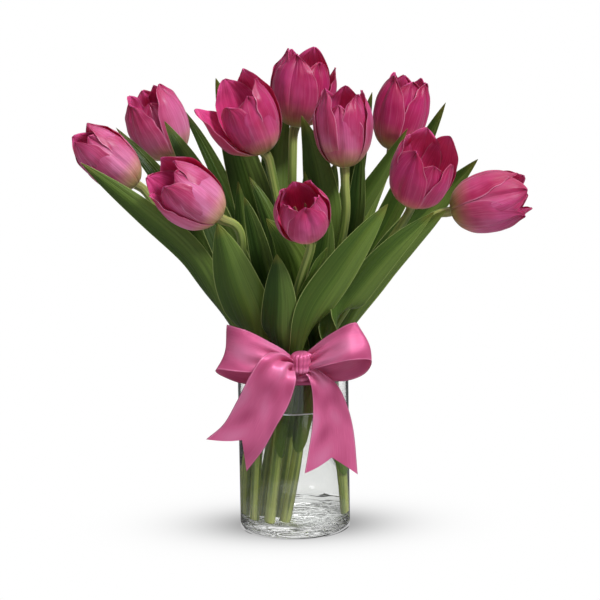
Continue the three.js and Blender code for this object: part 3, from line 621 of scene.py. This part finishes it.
def leaf_material():
    s = Shader("leaf")
    along, across, side = s.place()
    tone, away = s.tone(), s.math("ABSOLUTE", across)
    veins = s.noise((across, 30), (along, 0.9), (tone, 50), rough=0.6)
    patches = s.noise((across, 1.4), (along, 4), (tone, 90), detail=2)
    dark = s.mix(tone, (14, 38, 8), (64, 92, 28))
    light = s.mix(tone, (40, 70, 20), (114, 140, 54))
    warm = s.mix(tone, (50, 76, 16), (118, 134, 44))
    s.colour = s.mix(s.ramp(veins, (0.3, 0), (0.72, 1)), dark, light)
    s.lay_by(warm, patches, (0.42, 0), (0.8, 0.5))
    # Painted shade and light: across its midrib one half of a leaf is painted darker, and the other gets a
    # painted pale highlight.
    half = s.times(across, s.minus(s.times(side, 2), 1))
    half = s.plus(s.times(half, 0.5), 0.5)
    painted_shade_green = s.mix(tone, (12, 34, 8), (44, 72, 22))
    s.lay_by(painted_shade_green, half, (0.3, 0.5), (0.54, 0))
    # A painted highlight on the paler half.
    s.lay_by((134, 156, 78), half, (0.5, 0), (0.62, 0.22))
    # The outer face is a little paler than the inner one.
    s.lay((84, 112, 48), s.times(side, 0.1))
    # Roots in the water are pale, and the tips are a little yellow.
    s.lay_by((98, 124, 36), along, (0, 0.55), (0.26, 0))
    s.lay_by((126, 122, 48), along, (0.94, 0), (1, 0.6))
    # The midrib and the very edges are pale lines.
    s.lay_by((100, 128, 54), away, (0, 0.25), (0.05, 0))
    s.lay_by((168, 182, 108), away, (0.95, 0), (0.99, 0.7))
    waves = s.noise((across, 3.4), (along, 2.2), (tone, 20), detail=1)
    skin = s.principled(
        Roughness=s.ramp(patches, (0.3, 0.3), (0.75, 0.44)), Specular_IOR_Level=0.24,
        Normal=s.bump(veins, 0.00028, 0.6, under=s.bump(waves, 0.0017)),
    )
    return s.output(skin, 0.16, s.glow(0.4, (100, 130, 24)))


def stem_material():
    s = Shader("stem")
    along, across, _ = s.place()
    tone, turn = s.tone(), s.times(across, 2 * math.pi)
    x, y = s.math("COSINE", turn), s.math("SINE", turn)
    fibres = s.noise((x, 7), (y, 7), s.plus(s.times(along, 4), s.times(tone, 60)))
    ribs = s.noise((x, 1.5), (y, 1.5), s.plus(s.times(along, 2), s.times(tone, 35)), detail=1)
    s.colour = s.ramp(along, (0, (184, 184, 92)), (0.28, (136, 160, 60)), (0.75, (112, 140, 50)),
                      (0.95, (146, 156, 80)), (1, (160, 144, 90)))
    s.lay_by((66, 92, 30), ribs, (0.4, 0.65), (0.52, 0))
    s.lay_by((168, 178, 96), ribs, (0.52, 0), (0.64, 0.6))
    s.lay_by((72, 102, 36), fibres, (0.35, 0.5), (0.65, 0))
    return s.output(s.principled(
        Roughness=s.ramp(fibres, (0.3, 0.36), (0.7, 0.48)),
        Subsurface_Weight=0.12, Subsurface_Scale=0.002, Subsurface_Radius=(0.6, 1, 0.25),
        Normal=s.bump(fibres, 0.0003, 0.6),
    ))


def satin_material():
    """Satin ribbon: fine threads, painted patches of shade and sheen across them, and a bound edge."""
    s = Shader("satin")
    along, across, _ = s.place()
    away = s.math("ABSOLUTE", across)
    warp = s.node("TexWave", {
        "Vector": s.node("CombineXYZ", {0: across, 1: along}).outputs[0],
        "Scale": 24, "Distortion": 0.6, "Detail": 1, "Detail Scale": 3,
    }, wave_type="BANDS", bands_direction="X").outputs["Fac"]
    slubs = s.noise((across, 60), (along, 8), 0)
    painted_sheen = s.noise((across, 0.9), (along, 4), 0.2, detail=0)
    s.colour = s.mix(s.ramp(slubs, (0.35, 0), (0.7, 1)), (218, 102, 150), (230, 120, 166))
    # Painted shade and painted highlight: dark and pale patches that stand for the satin's sheen.
    s.lay_by((168, 50, 98), painted_sheen, (0.32, 0.6), (0.48, 0))
    s.lay_by((238, 156, 196), painted_sheen, (0.5, 0), (0.66, 0.5))
    s.lay((228, 150, 184), s.times(warp, 0.08))
    edge = s.ramp(away, (0.935, 0), (0.955, 1))
    s.lay((240, 162, 196), s.times(edge, 0.5))
    s.lay_by((150, 44, 90), away, (0.975, 0), (0.985, 0.7))
    height = s.plus(s.times(warp, 0.2), s.times(edge, 0.9))
    cloth = s.principled(
        Roughness=0.38, Specular_IOR_Level=0.9, Specular_Tint=srgb(255, 190, 214),
        Sheen_Weight=0.25, Sheen_Roughness=0.35, Sheen_Tint=srgb(255, 206, 224),
        Anisotropic=0.3, Metallic=0.15, Normal=s.bump(height, 0.00018, 0.7),
    )
    return s.output(cloth, 0.3, s.glow(0.5, (244, 70, 144)))


def clear_material(name, index, tint, passes, streaks=0):
    """Glass or water. index: how it bends light. passes: the lamps' light that gets through a surface.
    streaks: how deep the ripples of a cast foot are, in metres."""
    s = Shader(name)
    s.colour = tint
    inputs = dict(Roughness=0, IOR=index, Transmission_Weight=1)
    if streaks:
        x, y, z = s.split(s.where("Object"))
        ripples = s.noise((x, 40), (y, 130), (z, 240), detail=0)
        ridges = s.ramp(ripples, (0.44, 0), (0.49, 1), (0.54, 0))
        foot = s.ramp(s.math("DIVIDE", z, VASE.floor * MM * 2), (0.5, 1), (0.56, 0))
        inputs["Normal"] = s.bump(s.times(ridges, foot), streaks)
    path = s.node("LightPath").outputs
    open_to = s.math("MAXIMUM", path["Is Shadow Ray"], path["Is Diffuse Ray"])
    return s.output(s.principled(**inputs), open_to, s.node("BsdfTransparent", {0: passes}))


def speckled_material(name, low, high, scale, rough=0.6):
    """Two colours in fine grain, for what is small."""
    s = Shader(name)
    inputs = {"Vector": s.where("Object"), "Scale": scale, "Detail": 4}
    grain = s.node("TexNoise", inputs).outputs["Fac"]
    s.colour = s.mix(s.ramp(grain, (0.35, 0), (0.65, 1)), low, high)
    return s.output(s.principled(Roughness=rough, Normal=s.bump(grain, 0.0002, 0.6)))


# Stems

def bloom_axis(tulip):
    return unit(np.subtract(tulip.tip, tulip.neck).astype(float))


def stem_curve(tulip):
    mx, my = tulip.mouth
    squeezed = [c * q + s for c, q, s in zip(tulip.mouth, FEET.squeeze, FEET.shift)]
    fx, fy = getattr(tulip, "foot", squeezed)
    tilt = math.atan(math.hypot(mx - fx, my - fy) / (MOUTH_Z - VASE.floor))
    foot = np.array([fx, fy, VASE.floor + CLEARANCE + STEM.foot * math.sin(tilt)])
    mouth = np.array([mx, my, MOUTH_Z])
    neck = np.array(tulip.neck, float)
    bent = neck - getattr(tulip, "bend", STEM.bend) * bloom_axis(tulip)
    return Spline([foot, (foot + mouth) / 2, mouth, *tulip.via, bent, neck])


def stem_radius(share):
    return lerp(STEM.foot, STEM.neck, smooth(share / 0.9))


def rings_round(centres, forward, radius, sides):
    """Rings of points about a line, with a radius for each ring, or for each of its points."""
    a = square_to(np.array([0.0, 1.0, 0.0]), forward)
    b = np.cross(forward, a)
    turn = turns(sides)[None, :, None]
    out = a[:, None] * np.cos(turn) + b[:, None] * np.sin(turn)
    return centres[:, None] + out * radius[..., None]


def make_stem(tulip, index, material):
    curve = stem_curve(tulip)
    share = np.linspace(0, 1, STEM.rows)
    ribs = STEM.ribs * np.cos(6 * turns(STEM.sides) + index)
    knots = STEM.knots * np.sin(18 * share + index)[:, None]
    # The stem widens under the petals, and its cut end is bevelled.
    swell = STEM.swell * smooth((share - 0.965) / 0.035)[:, None]
    bevel = STEM.bevel * (share == 0)[:, None]
    radius = stem_radius(share)[:, None] + (ribs + knots) + swell - bevel
    centres = curve.at(share)
    centres[-1] += bloom_axis(tulip) * STEM.into_bloom
    body = Body()
    body.tube(rings_round(centres, curve.along(share), radius, STEM.sides), tone=index / 10)
    body.piece(f"tulip_stem_{tulip.id}", [material], "stem", f"stem_{tulip.id}")


# Leaves

def midrib(leaf):
    """The leaf's middle line, the radius it is rolled to at its root, and where it leaves its stem."""
    stem = stem_curve(next(t for t in TULIPS if t.id == leaf.id[:2]))
    low = stem.share_at_height(leaf.root)
    high = stem.share_at_height(max(MOUTH_Z, leaf.root + 20))
    rolled = float(stem_radius(low)) + LEAF.root_room
    hug = []
    for s in (0, 0.5, 1):
        t = lerp(low, high, s)
        out = square_to(heading(leaf.side), stem.along(t))
        hug.append(stem.at(t) + out * lerp(rolled, leaf.rim, s))
    curve = Spline(hug + list(leaf.path))
    hugged = np.linalg.norm(hug[1] - hug[0]) + np.linalg.norm(hug[2] - hug[1])
    return curve, rolled, hugged / curve.length


def leaf_grid(leaf, index):
    curve, rolled, hugged = midrib(leaf)
    widest = lerp(hugged, 1, LEAF.widest)
    rows = np.sin(np.linspace(0, 1, LEAF.rows) * np.pi / 2)
    v = crowded(LEAF.columns)
    # wrap is half the angle that a row bends round, and half is half its width.
    wrap = np.where(
        rows < hugged,
        lerp(LEAF.root_wrap, LEAF.mouth_wrap, rows / hugged),
        through([(hugged, LEAF.mouth_wrap), (widest, leaf.fold), (1, leaf.fold * 0.5)], rows),
    )
    narrowing = np.clip((rows - widest) / (1 - widest), 0, 1)
    at_mouth = leaf.rim * math.radians(LEAF.mouth_wrap)
    half = np.where(
        rows < widest,
        through([(hugged, at_mouth), (widest, leaf.wide / 2)], rows),
        leaf.wide / 2 * (1 - narrowing**2) ** 0.85,
    )
    half = np.where(rows < hugged, lerp(rolled, leaf.rim, rows / hugged) * np.radians(wrap), half)
    forward = curve.along(rows)
    face = [(0, leaf.side), (hugged, leaf.side), (widest, leaf.face[0]), (1, leaf.face[1])]
    out = square_to(heading(through(face, rows)), forward)
    across = np.cross(forward, out)
    angle = np.radians(wrap)[:, None]
    reach = (half / np.radians(wrap))[:, None]
    # Free of its stem, the leaf is less a gutter and more a fold along its midrib. bent goes from
    # 0 at the midrib to 1 at the edges, as the size of v does, but without its kink.
    folded = 0.6 * smooth((rows - hugged) / 0.2)[:, None]
    bent = (np.sqrt(v**2 + 0.004) - 0.063) / 0.939
    sideways = reach * np.sin(v * angle)
    sunk = reach * lerp(np.cos(v * angle) - 1, (np.cos(angle) - 1) * bent, folded)
    grid = curve.at(rows)[:, None] + across[:, None] * sideways[..., None] + out[:, None] * sunk[..., None]
    # A keel along the midrib, and edges that wave a little once the leaf is free of its stem.
    free = smooth((rows - hugged) / 0.25)[:, None] * (1 - rows[:, None]) ** 0.5
    keel = LEAF.keel * np.exp(-((v / 0.12) ** 2))
    waves = LEAF.waves * np.sin(2 * np.pi * (2.1 * rows[:, None] + 0.37 * index) + 1.3 * np.sign(v))
    grid += out[:, None] * (free * (keel + waves * np.abs(v) ** 3))[..., None]
    # The root is cut to a tongue: its edges start higher than its midrib.
    for j, across_share in enumerate(v):
        raised = rows + LEAF.tongue * across_share**2 * (1 - rows) ** 8
        grid[:, j] = between(raised, rows, grid[:, j])
    return grid, *np.meshgrid(rows, v, indexing="ij")


def make_leaf(leaf, index, material):
    grid, u, v = leaf_grid(leaf, index)
    thick = LEAF.thickness * (1 - 0.6 * np.abs(v) ** 3) * (1 - 0.5 * u**6)
    body = Body()
    body.sheet(grid, thick, u, v, tone=leaf.tone, pointed=True)
    body.piece(f"tulip_leaf_{leaf.id}", [material], "leaf", f"leaf_{leaf.id}")


# Blooms, in their own frame: the axis is +Z, and petal 0 faces the viewer before the spin

def petal_profile(tulip, k, u):
    """A petal's midline in the plane of its heading: distance from the axis, and height."""
    inner = k % 2
    belly, close, curl = tulip.belly, tulip.close, getattr(tulip, "curl", (0,) * 6)[k]
    length = tulip.long * tulip.rise[k]
    angle = [
        (0, 84), (0.09, 68 * belly), (0.24, 37 * belly), (0.42, 13 * belly), (0.56, 1),
        (0.72, -close * 0.5), (0.87, -close + curl * 0.5), (1, -close * 0.4 + curl),
    ]
    steps = 240
    slope = np.radians(through(angle, (np.arange(steps) + 0.5) / steps))
    out = PETAL.base_radius + np.concatenate([[0], np.cumsum(np.sin(slope) * length / steps)])
    up = PETAL.base_up + np.concatenate([[0], np.cumsum(np.cos(slope) * length / steps)])
    spots = np.linspace(0, 1, steps + 1)
    inset = PETAL.inset[inner] * smooth(u / 0.25)
    return np.interp(u, spots, out) - inset, np.interp(u, spots, up) + PETAL.lift[inner]


def petal_share(u, inner):
    """How wide a petal is at u, as a share of its greatest half width."""
    widest = 0.5
    low = 0.24 + 0.76 * np.sin(np.pi / 2 * np.clip(u / widest, 0, 1)) ** 0.9
    x = np.clip((u - widest) / (1 - widest), 0, 1)
    high = np.maximum(0, 1 - x ** PETAL.taper[inner]) ** PETAL.point[inner]
    return np.where(u < widest, low, high)


def petal_grid(tulip, k, index):
    inner = k % 2
    rows = 1 - (1 - np.linspace(0, 1, PETAL.rows)) ** 1.35
    u, v = np.meshgrid(rows, crowded(PETAL.columns), indexing="ij")
    away = np.abs(v)
    r, z = petal_profile(tulip, k, u)
    half = tulip.long * PETAL.half[inner] * lerp(0.9, 1, tulip.belly)
    curved = np.maximum(4, r) * through([(0, 1), (0.55, 0.97), (1, PETAL.flare[inner])], u)
    angle = v * np.minimum(half * petal_share(u, inner) / curved, math.radians(PETAL.reach[inner]))
    outward = r - curved + curved * np.cos(angle) - PETAL.base_radius
    outward += PETAL.lap * v * smooth(u / 0.3)  # one edge laps over the next petal
    sideways = curved * np.sin(angle)
    # Each petal has a shallow crease up its middle, gently waved margins and an uneven tip.
    draw = np.random.default_rng(10 * index + k)

    def ripple(fewest, most, way):
        return np.sin(2 * np.pi * (draw.uniform(fewest, most) * way + draw.uniform(0, 1)))

    crease = -PETAL.crease * np.exp(-((v / 0.16) ** 2)) * smooth((u - 0.2) / 0.4)
    wave = PETAL.wave * away**2.5 * ripple(1.2, 1.9, u)
    frill = PETAL.frill * away**4 * ripple(3.4, 5.4, u)
    bow = PETAL.bow * np.sin(np.pi * 1.6 * v + draw.uniform(0, 6)) * smooth((u - 0.3) / 0.5)
    outward += crease + (wave + bow * (1 - away)) * smooth((u - 0.25) / 0.4)
    outward += frill * smooth((u - 0.5) / 0.3)
    opened = np.radians(tulip.open[k] * smooth(u / 0.4))
    x = PETAL.base_radius + outward * np.cos(opened) + z * np.sin(opened)
    up = z * np.cos(opened) - outward * np.sin(opened)
    up -= PETAL.droop * smooth((u - 0.6) / 0.3) * away * draw.uniform(0, 1)
    up += PETAL.nicks * ripple(1.2, 2.2, v) * away**0.5 * smooth((u - 0.72) / 0.2)
    sway = PETAL.sway * math.sin(2.3 * k + index)
    turn = np.radians(60 * k + tulip.spin + sway * u**2)
    grid = np.stack([
        x * np.cos(turn) - sideways * np.sin(turn),
        x * np.sin(turn) + sideways * np.cos(turn),
        up,
    ], -1)
    thick = PETAL.thickness * (1 - 0.62 * away**2.5) * (1 - 0.4 * u**4)
    return grid, thick, u, v


def set_on_neck(tulip, body):
    """Moves what a body holds from the bloom's own frame to its place."""
    axis = bloom_axis(tulip)
    front = square_to(np.array([0.0, -1.0, 0.0]), axis)
    turn = np.stack([front, np.cross(axis, front), axis], -1)
    body.points = [p @ turn.T + np.array(tulip.neck, float) for p in body.points]


def make_bloom(tulip, index, material):
    body = Body()
    for k in range(6):
        tone = tulip.deep + np.random.default_rng(500 + 10 * index + k).uniform(-0.14, 0.14)
        body.sheet(*petal_grid(tulip, k, index), tone=tone, pointed=True)
    set_on_neck(tulip, body)
    body.piece(f"tulip_bloom_{tulip.id}", [material], "petal", f"bloom_{tulip.id}")


def bar(start, end, radii):
    """Rings of a thin round bar whose ends are drawn in."""
    rings = sides = 12
    t = np.linspace(0, 1, rings)
    radius = lerp(*radii, t) * (1 - 0.75 * (2 * t - 1) ** 8)
    forward = np.broadcast_to(unit(end - start), (rings, 3))
    return rings_round(lerp(start, end, t[:, None]), forward, radius[:, None], sides)


def make_heart(tulip, materials):
    """The seat of the petals, the pistil with its three lobes, and six stamens."""
    body = Body()
    top = STEM.neck + HEART.seat
    body.lathe([(0, 0.4), (top - 0.8, 0.4), (top, 1.4), (top - 0.4, 2.8), (top - 2, 4.2), (0, 4.8)], 32)
    share = np.linspace(0, 1, 26)[:, None]
    turn = turns(24)
    foot, length = HEART.pistil
    lobes = 1 + (0.1 + 0.35 * smooth((share - 0.78) / 0.1)) * np.cos(3 * turn)
    body.tube(polar(through(HEART.girth, share) * lobes, turn, foot + length * share))
    for k in range(6):
        around = math.radians(60 * k + 30 + tulip.spin)
        low, middle, high = (polar(out, around, up) for out, up in HEART.stamen)
        body.tube(bar(low, middle, HEART.filament))
        body.tube(bar(middle, high, HEART.anther), slot=1)
    set_on_neck(tulip, body)
    body.piece(f"tulip_heart_{tulip.id}", materials, "stem")


# Vase and water

def arc(centre_r, centre_z, radius, start, end):
    steps = 10
    turn = np.radians(np.linspace(start, end, steps + 1))
    return [(centre_r + radius * math.cos(t), centre_z + radius * math.sin(t)) for t in turn]


def make_vase(material):
    """A cast cylinder: its foot is a ring round a shallow hollow, and its floor is faintly ringed."""
    radius, height, floor, heel = VASE.radius, VASE.height, VASE.floor, VASE.heel
    inside, lip = radius - VASE.wall, VASE.lip
    ring = radius - heel - VASE.stand
    under = [(r, VASE.hollow * (1 - (r / ring) ** 4)) for r in np.linspace(0, ring, 16)]
    top = [
        ((inside - heel) * s, floor + VASE.rings * (1 - math.cos(12 * math.pi * s)) * s)
        for s in np.linspace(1, 0, 46)[1:]
    ]
    body = Body()
    body.lathe([
        *under, *arc(radius - heel, heel, heel, -90, 0),
        *arc(radius - lip, height - lip, lip, 0, 90), *arc(inside + lip, height - lip, lip, 90, 180),
        *arc(inside - heel, floor + heel, heel, 0, -90), *top,
    ], VASE.sides)
    body.piece("glass_vase", [material], "glass", "vase")


def make_water(material):
    """The water reaches a little into the glass, so that no air shows between them."""
    inside = VASE.radius - VASE.wall + WATER.overlap
    floor, heel, top = VASE.floor - WATER.overlap, VASE.heel, WATER.top
    wide, high = WATER.meniscus
    brim = [(inside - wide * s, top + high * (1 - s) ** 3) for s in np.linspace(0, 1, 9)]
    body = Body()
    body.lathe([
        (0, floor), (inside * 0.5, floor), *arc(inside - heel, floor + heel, heel, -90, 0),
        *brim, (inside * 0.5, top), (0, top),
    ], VASE.sides)
    body.piece("vase_water", [material], "water", "water")


def make_waterline_glint(material):
    """A painted highlight: a thin pale ring that stands for the bright thread of light where the water's
    edge climbs the glass.
    """
    turn = np.linspace(0, 2 * np.pi, 181)
    thick = WATER.thread
    reach = VASE.radius - VASE.wall - thick - WATER.thread_in
    ways = np.stack([-np.sin(turn), np.cos(turn), 0 * turn], -1)
    radius = np.full((len(turn), 1), thick)
    body = Body()
    body.tube(rings_round(polar(reach, turn, WATER.top + WATER.thread_up), ways, radius, 8))
    body.piece("painted_waterline_glint", [material], "water")


# Ribbon

def strip_grid(strip):
    upper, lower = Spline(strip.upper), Spline(strip.lower)
    u, v = shares(110, 33)
    t = u * (1 - strip.notch * (1 - np.abs(v)))
    return lerp(upper.knots(t), lower.knots(t), (v[..., None] + 1) / 2), t, u, v


def pleated(grid, t, v, strip):
    """Gathers a strip near its ends, and gives the rest soft waves."""
    near = np.zeros_like(t)
    for spot, span in strip.ends:
        near = np.maximum(near, 1 - smooth(np.abs(t - spot) / span))
    pleats = strip.depth * near * np.sin(np.pi * strip.folds * v + 2.2 * t)
    soft = strip.waves * (1 - near) * np.sin(2 * np.pi * (1.3 * t + 0.35 * v))
    return grid + normals(grid) * (pleats + soft)[..., None]


def make_band(body):
    """The ribbon goes round the vase under its rim, drawn together into three soft folds."""
    u, v = shares(180, 25)
    turn = 2 * np.pi * u * 0.992 - np.pi / 2  # its two ends don't quite meet, behind the knot
    folds = RIBBON.band_folds * np.cos(3 * np.pi * v + 0.8 * np.sin(5 * turn))
    swell = RIBBON.band_swell * (2 - v**2)
    radius = VASE.radius + CLEARANCE + RIBBON.band_room + (folds + swell)
    z = lerp(RIBBON.band_low, RIBBON.band_high, (v + 1) / 2) + 0.5 * np.sin(3 * turn)
    body.sheet(polar(radius, turn, z), RIBBON.thickness, u, v)


def make_knot(body, knot):
    """A drawn tie: a short barrel with upright pleats that crowd together at its middle."""
    w = np.linspace(-0.985, 0.985, 64)[:, None]
    turn = turns(192)
    girth = (1 - np.abs(w) ** 4) ** (1 / 2.2) * (0.84 + 0.2 * w**2)
    wander = 0.5 * w + 0.25 * np.sin(2.2 * w + 3 * turn)
    pleats = np.abs(np.sin(knot.folds / 2 * turn + wander)) ** 0.7
    girth = girth * (1 + 0.17 * pleats + 0.05 * np.sin(3 * turn + 2 * w))
    rings = np.array(knot.half) * polar(girth, turn, w)
    rings[..., 0] += knot.lean * w
    body.tube(rings + knot.centre)


def make_ribbon(material):
    body = Body()
    make_band(body)
    make_knot(body, BOW["knot"])
    make_knot(body, BOW["under_knot"])
    for name in ("left_loop", "right_loop", "left_tail", "right_tail"):
        grid, t, u, v = strip_grid(BOW[name])
        body.sheet(pleated(grid, t, v, BOW[name]), RIBBON.thickness, u, v)
    piece = body.piece("satin_ribbon", [material], "satin", "ribbon")


# Stage, light and camera

def make_floor():
    mesh = bpy.data.meshes.new("floor")
    size = 30
    corners = [(-size, -size, 0), (size, -size, 0), (size, size, 0), (-size, size, 0)]
    mesh.from_pydata(corners, [], [(0, 1, 2, 3)])
    s = Shader("floor")
    where = s.node("NewGeometry").outputs["Position"]
    x, y, _ = s.split(where)
    # A painted shadow: the floor's glow is dimmed in a soft ellipse round the vase.
    wide = s.math("DIVIDE", x, SHADE.reach)
    deep = s.math("DIVIDE", y, SHADE.reach / SHADE.narrow)
    spread = s.plus(s.times(wide, wide), s.times(deep, deep))
    shade = s.times(s.math("EXPONENT", s.times(spread, -1)), SHADE.depth)
    # Painted shadow under the glass: the floor stays bright but for a painted dark ring below the heel and
    # thin painted dark streaks.
    distance = s.node("VectorMath", {0: where}, operation="LENGTH").outputs["Value"]
    share = s.math("DIVIDE", distance, VASE.radius * MM)
    ring = s.ramp(share, (0.68, 0), (0.8, 1))
    noise = s.noise((distance, 360), (x, 24), (y, 24), detail=1.5)
    painted_streaks = s.times(s.ramp(noise, (0.56, 0), (0.585, 1)), 0.85)
    under = s.plus(painted_streaks, s.times(ring, 0.5), clamp=True)
    shade = s.choose(s.math("LESS_THAN", share, 1), shade, under)
    seen = s.node("Emission", {0: (1, 1, 1, 1), 1: s.minus(1, shade)})
    path = s.node("LightPath").outputs
    matt = s.node("BsdfDiffuse", {0: s.minus(0.55, s.times(path["Is Glossy Ray"], 0.42))})
    looked_at = s.math("MAXIMUM", path["Is Camera Ray"], path["Is Transmission Ray"])
    mesh.materials.append(s.output(matt, looked_at, seen))
    add_object("floor", mesh)


def make_world():
    """A white room with dim side walls. Its light on matt surfaces is even and low."""
    s = Shader("room", bpy.data.worlds)
    bpy.context.scene.world = s.owner

    def remap(value, *span):
        """span: a range of the value, and the two numbers that its ends become."""
        return s.node("MapRange", dict(enumerate((value, *span)))).outputs[0]

    path = s.node("LightPath").outputs
    x, y, _ = s.split(s.where("Generated"))
    walls = remap(s.math("ABSOLUTE", x), 0.3, 0.8, 1, 0.06)
    far = s.times(walls, remap(y, -0.5, 0.1, 0.03, 1))
    strength = s.choose(path["Is Glossy Ray"], 0.22, s.times(walls, 0.35))
    strength = s.choose(path["Is Transmission Ray"], strength, far)
    strength = s.choose(path["Is Camera Ray"], strength, 1)
    light = s.node("Background", {0: (1, 1, 1, 1), 1: strength})
    s.node("OutputWorld", {0: light.outputs[0]})


def make_sun(name, azimuth, elevation, strength, softness, tint=(1, 1, 1)):
    """A lamp far away. Azimuth 0 stands at the front, and 90 to the viewer's right."""
    lamp = bpy.data.lights.new(name, "SUN")
    lamp.energy = strength
    lamp.color = tint
    lamp.angle = math.radians(softness)
    az, el = math.radians(azimuth), math.radians(elevation)
    towards = np.array([math.sin(az) * math.cos(el), -math.cos(az) * math.cos(el), math.sin(el)])
    side = unit(np.cross([0, 0, 1], towards))
    turn = np.stack([side, np.cross(towards, side), towards], -1)
    add_object(name, lamp).matrix_world = Matrix(turn.tolist()).to_4x4()


def make_camera():
    yaw, pitch, roll = (math.radians(turn) for turn in CAMERA.turn)
    forward = np.array([math.sin(yaw) * math.cos(pitch), math.cos(yaw) * math.cos(pitch), math.sin(pitch)])
    level = np.array([math.cos(yaw), -math.sin(yaw), 0])
    upright = np.cross(level, forward)
    right = math.cos(roll) * level + math.sin(roll) * upright
    up = math.cos(roll) * upright - math.sin(roll) * level
    data = bpy.data.cameras.new("camera")
    data.lens = CAMERA.lens
    data.sensor_width = CAMERA.sensor
    camera = add_object("camera", data)
    camera.matrix_world = Matrix(np.stack([right, up, -forward], -1).tolist()).to_4x4()
    camera.location = CAMERA.place
    bpy.context.scene.camera = camera


# Assembly

make_camera()
make_floor()
make_world()
make_sun("key", azimuth=46, elevation=47, strength=3.7, softness=12, tint=(1, 0.97, 1.06))
make_sun("top", azimuth=150, elevation=66, strength=1.4, softness=50)
make_sun("fill", azimuth=-10, elevation=50, strength=0.75, softness=40)

petal, leaf_green, stem_green = petal_material(), leaf_material(), stem_material()
organs = [
    speckled_material("pistil", (176, 186, 110), (204, 208, 148), 900),
    speckled_material("anther", (96, 52, 44), (142, 92, 54), 1400, rough=0.8),
]
for number, tulip in enumerate(TULIPS):
    make_stem(tulip, number, stem_green)
    make_bloom(tulip, number, petal)
    make_heart(tulip, organs)
for number, leaf in enumerate(LEAVES):
    make_leaf(leaf, number, leaf_green)
make_vase(clear_material("glass", 1.5, (0.985, 0.992, 0.98, 1), (0.88, 0.9, 0.89, 1), streaks=0.001))
make_water(clear_material("water", 1.33, (0.995, 1, 1, 1), (0.99, 1, 1, 1)))
# A painted highlight along the water's edge.
make_waterline_glint(speckled_material("painted_light_on_water", (232, 238, 236), (255, 255, 255), 300, rough=0.2))
make_ribbon(satin_material())

bpy.context.scene.view_settings.view_transform = "Standard"
